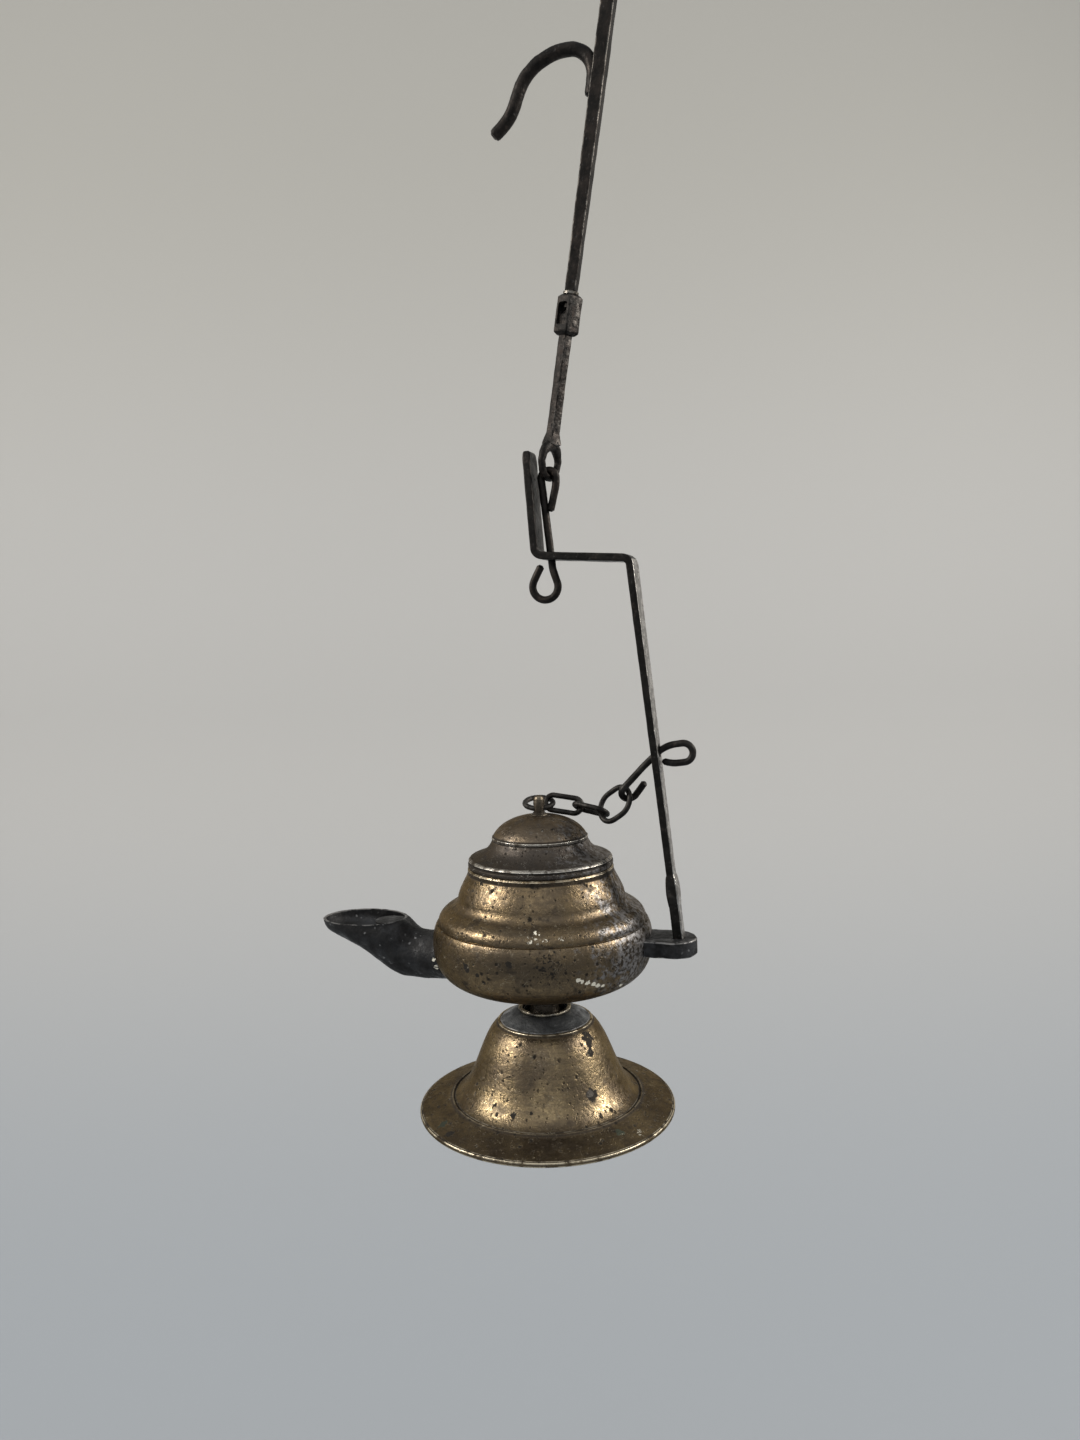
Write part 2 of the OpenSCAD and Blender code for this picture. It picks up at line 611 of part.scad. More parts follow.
// The square bar's outside grown by g
module bar_body(g)
    on_pose(ahead(rod_base, bar_s)) square_bar([[0, spike_low_w + 2 * g], [taper_l, spike_w + 2 * g],
        [spike_l - point_l, spike_w + 2 * g], [spike_l, point_w + 2 * g]]);

module spike_rod() color(iron) {
    bar_body(0);
    on_pose(ahead(rod_base, neck_low_s)) cylinder(d = neck_d, h = bar_s - neck_low_s + 0.2);
}

module hook_arm() color(iron)
    difference() {
        loft(wire_rings(trace(hook_path, hook_root), hook_d));
        bar_body(seat_gap);
    }

// Spout: stations of lower point, upper point and half width, as [out, rise] from the font

stations = [
    [[-8.0, 2.0], [-8.0, 8.0], 5.0], [[-2.0, 0.7], [-1.5, 10.6], 5.4], [[2.0, 0.4], [2.5, 10.4], 5.0],
    [[6.0, 0.4], [5.2, 10.6], 4.9], [[9.0, 0.7], [6.6, 11.4], 5.1], [[11.5, 1.8], [7.4, 12.1], 5.5],
    [[14.4, 3.9], [7.9, 12.4], 6.0], [[18.2, 6.4], [8.1, 12.5], 6.4], [[22.5, 8.5], [8.2, 12.55], 6.6],
    [[26.3, 10.3], [8.3, 12.6], 6.65], [[27.4, 12.4], [8.4, 12.65], 6.6]];
section_sides = 36;
mouth_margin = 4;
last = len(stations) - 1;
mouth_tip = stations[last][0];
mouth_rear = stations[last][1];
spout_size = spout_l / stations[last][0][0];
function spout_point(p) = [-font_r - p[0] * spout_size, font_h + spout_rise + p[1] * spout_size];

// A station between two others, on a smooth curve through its neighbours
function blend(a, b, c, d, t) = 0.5 * (2 * b + (c - a) * t + (2 * a - 5 * b + 4 * c - d) * t * t
    + (3 * b - a - 3 * c + d) * t * t * t);
function station_at(s) = let(i = min(floor(s), last - 1), t = s - i)
    [for (k = [0:2]) blend(stations[max(i - 1, 0)][k], stations[i][k], stations[i + 1][k],
        stations[min(i + 2, last)][k], t)];

// The ring of points round one station, drawn in by g
function section(s, g) =
    let(low = spout_point(station_at(s)[0]), high = spout_point(station_at(s)[1]),
        mid = (low + high) / 2, half = (high - low) / 2, tall = norm(half) - g,
        wide = station_at(s)[2] * spout_size - g, dir = unit(half))
    [for (j = [0:section_sides - 1]) let(a = 360 * j / section_sides)
        [mid[0] + dir[0] * tall * sin(a), wide * cos(a), mid[1] + dir[1] * tall * sin(a)]];

module spout_body() loft([for (s = [0:1 / 3:last + 0.01]) section(s, 0)]);

// The throat, run on into the font and past the mouth so that the spout is open at both ends
module throat(g) {
    inner = [for (s = [0:1 / 3:last + 0.01]) section(s, g)];
    loft(concat([[for (p = inner[0]) p + [4, 0, 0]]], inner,
        [[for (p = inner[len(inner) - 1]) p + [0, 0, 1]]]));
}

// Everything above the mouth's plane, moved down by g
module over_mouth(g) {
    tip = spout_point(mouth_tip);
    rear = spout_point(mouth_rear);
    rise = atan2(rear[1] - tip[1], rear[0] - tip[0]);
    translate([tip[0], 0, tip[1] - g]) rotate([0, -rise, 0]) translate([-mouth_margin, -font_r / 2, 0])
        cube([norm(rear - tip) + 2 * mouth_margin, font_r, font_r / 2]);
}

module spout() color(lead)
    difference() {
        spout_body();
        throat(spout_t);
        font_body(seat_gap);
    }

rest_reach = 6.8;
rest_drop = 0.9;

module wick_rest() color(lead)
    intersection() {
        throat(spout_t + seat_gap);
        difference() {
            over_mouth(rest_drop);
            over_mouth(rest_drop - rest_t);
        }
        translate([spout_point(mouth_rear)[0] - rest_reach + rest_w / 2, 0, font_h]) {
            cylinder(d = rest_w, h = font_r);
            translate([0, -rest_w / 2, 0]) cube([rest_reach + rest_w, rest_w, font_r]);
        }
    }

// Chain

ring_tilt = 14;
ring_side = [cos(knob_turn), sin(knob_turn), 0];
ring_out = [-sin(knob_turn) * cos(ring_tilt), cos(knob_turn) * cos(ring_tilt), sin(ring_tilt)];
ring_pull = knob_eye + ring_r * (ring_out + ring_side);
toggle_path = [[3.4, 3, 8], [4.0, 0, 1]];
toggle_hook = [[1.6, 188, 1.65], [3.2, 0, 1]];
toggle_loop = [[0.3, -36, 6.6], [1.2, -180, 1.85], [1.0, -24, 7], [0.5, 0, 1]];
toggle_roll = 39.3;
link_1_roll = 17.6;
link_2_roll = -57.4;
link_3_roll = 30.2;
slack_1 = 0.12;
slack_2 = 0.2;
slack_3 = 0.28;
slack_ring = 0.35;
slack_toggle = 0.18;
joint_12 = ring_pull + [5.2, 0.31, -0.74];
joint_23 = joint_12 + [5.56, -1.38, -0.43];
shank_end = walk(toggle_path, 2, toggle_at);
hook_low = ahead(shank_end, toggle_hook[0][0]);
hook_ahead = [cos(hook_low[2]), 0, sin(hook_low[2])];
hook_left = [-hook_ahead[2], 0, hook_ahead[0]];
hook_side = cos(toggle_roll) * hook_left + sin(toggle_roll) * [0, 1, 0];
hook_across = cos(toggle_roll) * [0, 1, 0] - sin(toggle_roll) * hook_left;
hook_pull = at(hook_low) + toggle_hook[0][2] * (hook_side + hook_ahead);

// The wire's ring at a pose in the plane of the toggle's hook
function hook_ring(p, d) = ring_about(at(shank_end) + p[0] * hook_ahead + p[1] * hook_side,
    sin(p[2]) * hook_ahead - cos(p[2]) * hook_side, hook_across, d, -toggle_roll);

// A round-ended link whose ends reach past the wires at a and b
module link(a, b, over_a, over_b, width, roll) {
    v = b - a;
    r = width / 2;
    l = norm(v) + over_a + over_b - width;
    translate(a) rotate([0, -asin(v[2] / norm(v)), atan2(v[1], v[0])]) rotate([-roll, 0, 0])
        translate([r - over_a, 0, 0]) rotate([90, 0, 0]) {
            for (end = [0, 1]) translate([end * l, 0, 0]) rotate([0, 0, 90 - 180 * end])
                rotate_extrude(angle = 180) translate([r, 0]) circle(d = chain_d, $fn = 24);
            for (side = [-r, r]) translate([0, side, 0]) rotate([0, 90, 0])
                cylinder(d = chain_d, h = l, $fn = 24);
        }
}

dir_1 = unit(joint_12 - ring_pull);
dir_2 = unit(joint_23 - joint_12);
dir_3 = unit(hook_pull - joint_23);
function beside(p, dir, slack) = p + dir * (chain_d + slack) / 2;

module knob_ring() color(iron)
    translate(knob_eye) rotate([0, 0, knob_turn]) rotate([ring_tilt, 0, 0]) translate([0, ring_r, 0])
        ring(ring_r, chain_d);

module chain_link_1() color(iron)
    link(ring_pull, beside(joint_12, -dir_2, slack_1), chain_d + slack_ring, chain_d + slack_2,
        link_w, link_1_roll);

module chain_link_2() color(iron)
    link(beside(joint_12, dir_1, slack_1), beside(joint_23, -dir_3, slack_1), chain_d + slack_2,
        chain_d + slack_3, link_w, link_2_roll);

module chain_link_3() color(iron)
    link(beside(joint_23, dir_2, slack_1), hook_pull, chain_d + slack_3,
        (chain_d + toggle_d) / 2 + slack_toggle, big_link_w, link_3_roll);

module chain_toggle() color(iron) {
    loop = backwards(trace(toggle_loop, facing(toggle_at, toggle_heading - 180)));
    shank = trace(toggle_path, toggle_at);
    hook = trace(toggle_hook, [0, 0, 0]);
    straight = wire_rings(concat(loop, after_first(shank)), toggle_d);
    rolled = [for (i = [1:len(hook) - 2]) hook_ring(hook[i], toggle_d)];
    end = hook[len(hook) - 1];
    loft(concat([for (i = [0:len(straight) - 3]) straight[i]], rolled,
        [hook_ring(ahead(end, -0.22 * toggle_d), toggle_d), hook_ring(end, 0.6 * toggle_d)]));
}

translate(-saddle) {
    spike_rod();
    hook_arm();
    swivel_washer();
    rivet_head();
    swivel_block();
    drop_rod();
    hanging_link();
    handle_strip();
    handle_lug();
    lug_pin();
    font_lower();
    font_upper();
    filler_collar();
    spout();
    wick_rest();
    stem();
    stem_washer();
    stem_collar();
    foot_disc();
    foot_bell();
    lid_shell();
    lid_collar();
    lid_knob();
    knob_ring();
    chain_link_1();
    chain_link_2();
    chain_link_3();
    chain_toggle();
}
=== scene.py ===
# A miner's oil lamp of brass, iron and lead-grey metal, hanging in front of a pale wall.
import math

import bmesh
import bpy
import numpy as np
from mathutils import Matrix


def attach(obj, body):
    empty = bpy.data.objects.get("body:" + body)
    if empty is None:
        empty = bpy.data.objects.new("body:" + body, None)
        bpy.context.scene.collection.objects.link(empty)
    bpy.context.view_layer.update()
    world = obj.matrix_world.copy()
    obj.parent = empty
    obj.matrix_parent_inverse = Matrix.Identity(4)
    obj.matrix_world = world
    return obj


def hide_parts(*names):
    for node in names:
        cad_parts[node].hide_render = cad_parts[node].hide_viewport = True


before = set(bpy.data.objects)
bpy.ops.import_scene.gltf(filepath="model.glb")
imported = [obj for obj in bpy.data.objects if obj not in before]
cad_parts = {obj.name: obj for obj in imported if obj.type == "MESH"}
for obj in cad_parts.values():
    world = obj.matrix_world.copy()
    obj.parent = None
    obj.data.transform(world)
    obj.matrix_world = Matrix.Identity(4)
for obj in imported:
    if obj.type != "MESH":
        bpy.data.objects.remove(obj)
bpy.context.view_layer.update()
print("frame loaded:", len(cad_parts), "nodes")

# Shapes are in millimetres: x from the lamp's axis towards the handle, z above the foot.
# A mesh is moved to the frame's origin, the saddle of the hook, when it is made.
saddle = np.array([9.6762, 0.0, 204.838])
up = 90.0


# Lines and curves

def unit(v):
    v = np.asarray(v, float)
    return v / np.linalg.norm(v, axis=-1, keepdims=True)  # each vector over its own length


def cubic(a, b, c, d, count=28):
    # cubic curve: (1-t)^3 a + 3t(1-t)^2 b + 3t^2(1-t) c + t^3 d
    t = np.linspace(0, 1, count)[:, None]
    a, b, c, d = (np.asarray(p, float) for p in (a, b, c, d))
    return (1 - t) ** 3 * a + 3 * t * (1 - t) ** 2 * b + 3 * t * t * (1 - t) * c + t ** 3 * d


def joined(*parts):
    return np.concatenate([np.atleast_2d(np.asarray(p, float)) for p in parts])


def offsetLine(points, distance):
    # each point moves left of the line's direction there by the distance
    step = unit(np.gradient(points, axis=0))
    return points + distance * np.stack([-step[:, 1], step[:, 0]], 1)


def softCorners(points, radius=0.12, steps=3):
    # each corner of a closed outline gives way to a parabola that starts and ends radius away
    before, after = np.roll(points, 1, 0) - points, np.roll(points, -1, 0) - points
    lengthBefore = np.linalg.norm(before, axis=1, keepdims=True)
    lengthAfter = np.linalg.norm(after, axis=1, keepdims=True)
    start = points + before / lengthBefore * np.minimum(radius, 0.45 * lengthBefore)
    end = points + after / lengthAfter * np.minimum(radius, 0.45 * lengthAfter)
    t = np.linspace(0, 1, steps + 1)[None, :, None]
    rounded = (1 - t) ** 2 * start[:, None] + 2 * t * (1 - t) * points[:, None] + t * t * end[:, None]
    return rounded.reshape(-1, points.shape[1])


def ahead(pose, length):
    # a pose is x, z and heading in degrees; it moves along its heading
    x, z, heading = pose
    return (x + length * math.cos(math.radians(heading)), z + length * math.sin(math.radians(heading)), heading)


def aside(pose, length):
    x, z, heading = pose
    return (x - length * math.sin(math.radians(heading)), z + length * math.cos(math.radians(heading)), heading)


def bentLine(pose, moves, spacing=0.35):
    # straights and arcs: an arc's point is its centre plus the radius turned by the share of the bend
    points = [np.array([[pose[0], pose[1]]])]
    for length, turn, radius in moves:
        if length > 0:
            t = np.linspace(0, 1, max(2, int(length / spacing) + 1))[1:, None]
            end = ahead(pose, length)
            points.append((1 - t) * np.array(pose[:2]) + t * np.array(end[:2]))
            pose = end
        if turn != 0:
            side = math.copysign(radius, turn)
            centre = aside(pose, side)
            count = max(4, int(abs(turn) / 5))
            angle = np.radians(pose[2] + turn * np.arange(1, count + 1) / count)
            points.append(np.stack([centre[0] + side * np.sin(angle), centre[1] - side * np.cos(angle)], 1))
            pose = (points[-1][-1, 0], points[-1][-1, 1], pose[2] + turn)
    return np.concatenate(points), pose


def inPlane(line, depth=0.0):
    return np.stack([line[:, 0], np.full(len(line), depth), line[:, 1]], 1)


# Surfaces: grids of points, rows along and columns around

def lathe(outline, columns=168, wobble=()):
    # a point of the outline at angle a: (r cos a, r sin a, z), with r grown by amount * cos(waves * a + phase)
    angle = np.linspace(0, 2 * np.pi, columns, endpoint=False)[None, :]
    r = outline[:, :1] + 0 * angle
    for amount, waves, phase in wobble:
        r = r * (1 + amount * np.cos(waves * angle + phase))
    return np.stack([r * np.cos(angle), r * np.sin(angle), outline[:, 1:2] + 0 * angle], -1)


def sweep(path, section, reference=(0.0, 1.0, 0.0)):
    # at each point of the path the section's x runs along the reference and its y across it
    path = np.asarray(path, float)
    tangent = unit(np.gradient(path, axis=0))
    across = unit(np.cross(np.asarray(reference, float), tangent))
    side = np.cross(tangent, across)
    return path[:, None] + section[..., :1] * side[:, None] + section[..., 1:] * across[:, None]


def roundSection(radii, columns=20):
    # circle: radius * (cos a, sin a)
    angle = np.linspace(0, 2 * np.pi, columns, endpoint=False)
    return np.asarray(radii, float)[:, None, None] * np.stack([np.cos(angle), np.sin(angle)], 1)[None]


def squareSection(halfX, halfY, corner, arcSteps=4, flatSteps=5):
    # rounded square: a core corner (half side less the corner's radius) plus the radius along the arc's direction
    quarter = np.linspace(0, np.pi / 2, arcSteps + 1)
    share = np.linspace(1, -1, flatSteps + 1)[1:-1]
    core, rim = [], []
    for k, (sx, sy) in enumerate(((1, 1), (-1, 1), (-1, -1), (1, -1))):
        a = quarter + k * np.pi / 2
        core.append(np.tile([sx, sy], (len(a), 1)))
        rim.append(np.stack([np.cos(a), np.sin(a)], 1))
        nextX, nextY = ((-1, 1), (-1, -1), (1, -1), (1, 1))[k]
        blend = (share[:, None] + 1) / 2
        core.append(blend * [sx, sy] + (1 - blend) * [nextX, nextY])
        rim.append(np.tile([np.cos(a[-1]), np.sin(a[-1])], (len(share), 1)))
    core, rim = np.concatenate(core), np.concatenate(rim)
    halfX, halfY, corner = (np.atleast_1d(np.asarray(v, float))[:, None] for v in (halfX, halfY, corner))
    return np.stack([core[:, 0] * (halfX - corner) + rim[:, 0] * corner,
                     core[:, 1] * (halfY - corner) + rim[:, 1] * corner], -1)


def lengthAlong(path):
    return np.concatenate([[0], np.cumsum(np.linalg.norm(np.diff(path, axis=0), axis=1))])


def wornEnds(path, radius, startWear=0.5, endWear=0.5):
    # the radius falls towards an end as a quarter ellipse of the given depth, in radii
    s = lengthAlong(path)
    share = np.minimum(1, np.minimum(s / (startWear * radius), (s[-1] - s) / (endWear * radius)))
    return radius * (0.45 + 0.55 * np.sqrt(np.clip(1 - (1 - share) ** 2, 0, 1)))


def roughened(grid, amount, size, seed=1, waves=9):
    # adds along x, y and z the mean of sine waves of chance directions, about size long
    rng = np.random.default_rng(seed)
    direction = unit(rng.normal(size=(waves, 3))) * (2 * np.pi / size) * rng.uniform(0.6, 1.7, (waves, 1))
    phase = rng.uniform(0, 2 * np.pi, (waves, 3))
    angle = grid @ direction.T
    return grid + amount * np.stack([np.sin(angle + phase[:, k]).sum(-1) for k in range(3)], -1) / math.sqrt(waves)


def edgeTurns(grid, wrapRows, wrapColumns, size):
    # turn of the line at a point over its spacing, in turns per size: outward bends and inward bends
    outward, inward = np.zeros(grid.shape[:2]), np.zeros(grid.shape[:2])
    rowStep = np.roll(grid, -1, 0) - np.roll(grid, 1, 0)
    columnStep = np.roll(grid, -1, 1) - np.roll(grid, 1, 1)
    normal = np.cross(columnStep, rowStep)
    normal /= np.maximum(np.linalg.norm(normal, axis=-1, keepdims=True), 1e-9)
    for axis, wrap in ((0, wrapRows), (1, wrapColumns)):
        forward, back = np.roll(grid, -1, axis) - grid, grid - np.roll(grid, 1, axis)
        lf = np.maximum(np.linalg.norm(forward, axis=-1, keepdims=True), 1e-6)
        lb = np.maximum(np.linalg.norm(back, axis=-1, keepdims=True), 1e-6)
        turn = ((forward / lf - back / lb) * normal).sum(-1) * 2 * size / (lf + lb)[..., 0]
        if not wrap:
            ends = [slice(None)] * 2
            ends[axis] = [0, -1]
            turn[tuple(ends)] = 0
        outward, inward = np.maximum(outward, -turn), np.maximum(inward, turn)
    return np.clip(outward, 0, 1), np.clip(inward, 0, 1)


def spread(mask, steps=3, kept=0.72):
    # each step lets a point take a share of the highest value of its neighbours along the rows
    for _ in range(steps):
        mask = np.maximum(mask, kept * np.maximum(np.roll(mask, 1, 0), np.roll(mask, -1, 0)))
    return mask


def makePiece(name, grid, material, body, nodes, wrapRows=False, wrapColumns=True, capped=False, edge=0.25,
              wear=None, rubbing=1.0):
    # quads between neighbouring points of the grid; a cap is a fan to the end row's middle
    rows, columns = grid.shape[:2]
    index = np.arange(rows * columns).reshape(rows, columns)
    low, high = (index, np.roll(index, -1, 0)) if wrapRows else (index[:-1], index[1:])
    if wrapColumns:
        quads = np.stack([low, np.roll(low, -1, 1), np.roll(high, -1, 1), high], -1).reshape(-1, 4)
    else:
        quads = np.stack([low[:, :-1], low[:, 1:], high[:, 1:], high[:, :-1]], -1).reshape(-1, 4)
    points = grid.reshape(-1, 3)
    outward, inward = edgeTurns(grid, wrapRows, wrapColumns, edge)
    triangles = np.zeros((0, 3), int)
    if capped:
        points = np.concatenate([points, grid[0].mean(0)[None], grid[-1].mean(0)[None]])
        first, last, middle = index[0], index[-1], rows * columns
        triangles = np.concatenate([
            np.stack([np.roll(first, -1), first, np.full(columns, middle)], 1),
            np.stack([last, np.roll(last, -1), np.full(columns, middle + 1)], 1)])
    corners = np.concatenate([quads[:, [0, 1, 2]], quads[:, [0, 2, 3]], triangles])
    a, b, c = (points[corners[:, k]] - points.mean(0) for k in range(3))
    if (a * np.cross(b, c)).sum() < 0:
        quads, triangles = quads[:, ::-1], triangles[:, ::-1]
        outward, inward = inward, outward
    # the edge mask holds edge wear, or the given mask, which on the handle strip, drop rod and swivel block also
    # carries a painted sheen
    worn = np.broadcast_to(outward * rubbing if wear is None else wear, (rows, columns))
    masks = {"edgeWearAndSheen": worn, "hollow": spread(inward) if wear is None else 0 * worn}
    mesh = bpy.data.meshes.new(name)
    mesh.from_pydata(((points - saddle) / 1000).tolist(), [], quads.tolist() + triangles.tolist())
    for label, mask in masks.items():
        values = np.concatenate([mask.reshape(-1), np.full(len(points) - rows * columns, 0.3)])
        mesh.attributes.new(label, "FLOAT", "POINT").data.foreach_set("value", values.astype(np.float32))
    joinedMesh = bmesh.new()
    joinedMesh.from_mesh(mesh)
    bmesh.ops.remove_doubles(joinedMesh, verts=joinedMesh.verts, dist=2e-7)
    joinedMesh.to_mesh(mesh)
    joinedMesh.free()
    return addPiece(name, mesh, material, body, nodes)


def addPiece(name, mesh, material, body, nodes):
    mesh.materials.clear()
    mesh.materials.append(material)
    mesh.polygons.foreach_set("use_smooth", np.ones(len(mesh.polygons), bool))
    mesh.set_sharp_from_angle(angle=math.radians(38))
    piece = bpy.data.objects.new(name, mesh)
    bpy.context.scene.collection.objects.link(piece)
    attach(piece, body)
    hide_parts(*nodes)
    return piece


def cutAway(piece, cutterGrids):
    # takes the closed grids out of a piece with exact Booleans, then makes the result its mesh
    for k, grid in enumerate(cutterGrids):
        rows, columns = grid.shape[:2]
        index = np.arange(rows * columns).reshape(rows, columns)
        low, high = index[:-1], index[1:]
        quads = np.stack([low, np.roll(low, -1, 1), np.roll(high, -1, 1), high], -1).reshape(-1, 4).tolist()
        tool = bpy.data.meshes.new("tool")
        tool.from_pydata(((grid.reshape(-1, 3) - saddle) / 1000).tolist(), [],
                         quads + [index[0, ::-1].tolist(), index[-1].tolist()])
        shape = bmesh.new()
        shape.from_mesh(tool)
        bmesh.ops.recalc_face_normals(shape, faces=shape.faces)
        shape.to_mesh(tool)
        shape.free()
        toolObject = bpy.data.objects.new("tool", tool)
        bpy.context.scene.collection.objects.link(toolObject)
        cut = piece.modifiers.new("cut", "BOOLEAN")
        cut.operation, cut.solver, cut.object = "DIFFERENCE", "EXACT", toolObject
        bpy.context.view_layer.update()
        result = bpy.data.meshes.new_from_object(piece.evaluated_get(bpy.context.evaluated_depsgraph_get()))
        piece.modifiers.clear()
        piece.data = result
        bpy.data.objects.remove(toolObject)
    piece.data.polygons.foreach_set("use_smooth", np.ones(len(piece.data.polygons), bool))
    piece.data.set_sharp_from_angle(angle=math.radians(38))
    return piece


def rodGrid(start, end, radius, columns=40):
    path = np.linspace(start, end, 2)
    reference = [0, 1, 0] if abs(unit(np.subtract(end, start))[1]) < 0.9 else [1, 0, 0]
    return sweep(path, roundSection([radius] * 2, columns), reference)


# Shader nodes

def add(tree, kind, sockets=None, **settings):
    node = tree.nodes.new(kind)
    for key, value in settings.items():
        setattr(node, key, value)
    for key, value in (sockets or {}).items():
        if isinstance(value, bpy.types.NodeSocket):
            tree.links.new(value, node.inputs[key])
        else:
            node.inputs[key].default_value = value
    return node


def newGroup(name, inputs, outputs):
    tree = bpy.data.node_groups.new(name, "ShaderNodeTree")
    for label, kind, value in inputs:
        socket = tree.interface.new_socket(name=label, in_out="INPUT", socket_type="NodeSocket" + kind)
        if value is not None:
            socket.default_value = value
    for label, kind in outputs:
        tree.interface.new_socket(name=label, in_out="OUTPUT", socket_type="NodeSocket" + kind)
    return tree, add(tree, "NodeGroupInput"), add(tree, "NodeGroupOutput")


def useGroup(tree, group, sockets, output=0):
    return add(tree, "ShaderNodeGroup", sockets, node_tree=group).outputs[output]


def arithmetic(tree, operation, a, b=0.0, clamp=False):
    return add(tree, "ShaderNodeMath", {0: a, 1: b}, operation=operation, use_clamp=clamp).outputs[0]


def smoothRange(tree, value, low, high, toLow=0.0, toHigh=1.0):
    # eases from toLow to toHigh while the value goes from low to high
    sockets = {"Value": value, "From Min": low, "From Max": high, "To Min": toLow, "To Max": toHigh}
    return add(tree, "ShaderNodeMapRange", sockets, interpolation_type="SMOOTHSTEP").outputs[0]


def tint(tree, factor, a, b, mode="MIX"):
    node = add(tree, "ShaderNodeMix", data_type="RGBA", blend_type=mode)
    for socket, value in ((node.inputs[0], factor), (node.inputs[6], a), (node.inputs[7], b)):
        if isinstance(value, bpy.types.NodeSocket):
            tree.links.new(value, socket)
        else:
            socket.default_value = (*value, 1) if isinstance(value, tuple) else value
    return node.outputs[2]


# object coordinates in millimetres from the lamp's axis and foot
lampPlace, groupIn, groupOut = newGroup("lampPlace", [("Vector", "Vector", None)], [("Place", "Vector")])
scaled = add(lampPlace, "ShaderNodeVectorMath", {0: groupIn.outputs[0], 1: (1000, 1000, 1000)}, operation="MULTIPLY")
moved = add(lampPlace, "ShaderNodeVectorMath", {0: scaled.outputs[0], 1: tuple(saddle)}, operation="ADD")
lampPlace.links.new(moved.outputs[0], groupOut.inputs[0])

# blotches: noise of the given grain (mm), eased from low to high
blotches, groupIn, groupOut = newGroup(
    "blotches", [("Place", "Vector", None), ("Grain", "Float", 5.0), ("Detail", "Float", 4.0),
                 ("Low", "Float", 0.45), ("High", "Float", 0.6), ("Shift", "Float", 0.0)], [("Mask", "Float")])
rate = arithmetic(blotches, "DIVIDE", 1.0, groupIn.outputs[1])
shifted = add(blotches, "ShaderNodeVectorMath", {0: groupIn.outputs[0], 1: groupIn.outputs[5]}, operation="ADD")
noise = add(blotches, "ShaderNodeTexNoise", {"Vector": shifted.outputs[0], "Scale": rate,
                                             "Detail": groupIn.outputs[2], "Roughness": 0.6})
blotches.links.new(smoothRange(blotches, noise.outputs[0], groupIn.outputs[3], groupIn.outputs[4]),
                   groupOut.inputs[0])

# pits: cells of the given spacing (mm) keep a dot of the given radius where a coarser noise is high
pits, groupIn, groupOut = newGroup(
    "pits", [("Place", "Vector", None), ("Spacing", "Float", 1.0), ("Radius", "Float", 0.2),
             ("Cluster", "Float", 6.0), ("Few", "Float", 0.55)], [("Mask", "Float")])
bend = add(pits, "ShaderNodeTexNoise", {"Vector": groupIn.outputs[0], "Scale": 1.6, "Detail": 2.0})
warp = add(pits, "ShaderNodeVectorMath", {0: bend.outputs[1], 1: (0.55, 0.55, 0.55)}, operation="MULTIPLY")
warped = add(pits, "ShaderNodeVectorMath", {0: groupIn.outputs[0], 1: warp.outputs[0]}, operation="ADD")
rate = arithmetic(pits, "DIVIDE", 1.0, groupIn.outputs[1])
cells = add(pits, "ShaderNodeTexVoronoi", {"Vector": warped.outputs[0], "Scale": rate})
lone = add(pits, "ShaderNodeSeparateColor", {0: cells.outputs["Color"]})
size = arithmetic(pits, "MULTIPLY", arithmetic(pits, "DIVIDE", groupIn.outputs[2], groupIn.outputs[1]),
                  smoothRange(pits, lone.outputs[0], 0.2, 1.0, 0.25, 1.35))
dot = smoothRange(pits, cells.outputs["Distance"], size, arithmetic(pits, "MULTIPLY", size, 0.45))
clusterRate = arithmetic(pits, "DIVIDE", 1.0, groupIn.outputs[3])
region = add(pits, "ShaderNodeTexNoise", {"Vector": groupIn.outputs[0], "Scale": clusterRate, "Detail": 3.0})
kept = smoothRange(pits, region.outputs[0], groupIn.outputs[4], arithmetic(pits, "ADD", groupIn.outputs[4], 0.07))
pits.links.new(arithmetic(pits, "MULTIPLY", dot, kept), groupOut.inputs[0])

# scratches: the thin band where a long stretched noise passes its middle, broken by a coarser noise
scratches, groupIn, groupOut = newGroup(
    "scratches", [("Place", "Vector", None), ("Turn", "Vector", (0, 0, 0)), ("Stretch", "Vector", (0.1, 1.2, 1.2)),
                  ("Width", "Float", 0.01)], [("Mask", "Float")])
turned = add(scratches, "ShaderNodeVectorRotate", {"Vector": groupIn.outputs[0], "Rotation": groupIn.outputs[1]},
             rotation_type="EULER_XYZ")
stretched = add(scratches, "ShaderNodeVectorMath", {0: turned.outputs[0], 1: groupIn.outputs[2]}, operation="MULTIPLY")
noise = add(scratches, "ShaderNodeTexNoise", {"Vector": stretched.outputs[0], "Scale": 1.0, "Detail": 1.5})
away = arithmetic(scratches, "ABSOLUTE", arithmetic(scratches, "SUBTRACT", noise.outputs[0], 0.5))
line = smoothRange(scratches, away, groupIn.outputs[3], 0.0)
broken = add(scratches, "ShaderNodeTexNoise", {"Vector": groupIn.outputs[0], "Scale": 0.4, "Detail": 2.0})
scratches.links.new(arithmetic(scratches, "MULTIPLY", line, smoothRange(scratches, broken.outputs[0], 0.5, 0.62)),
                    groupOut.inputs[0])

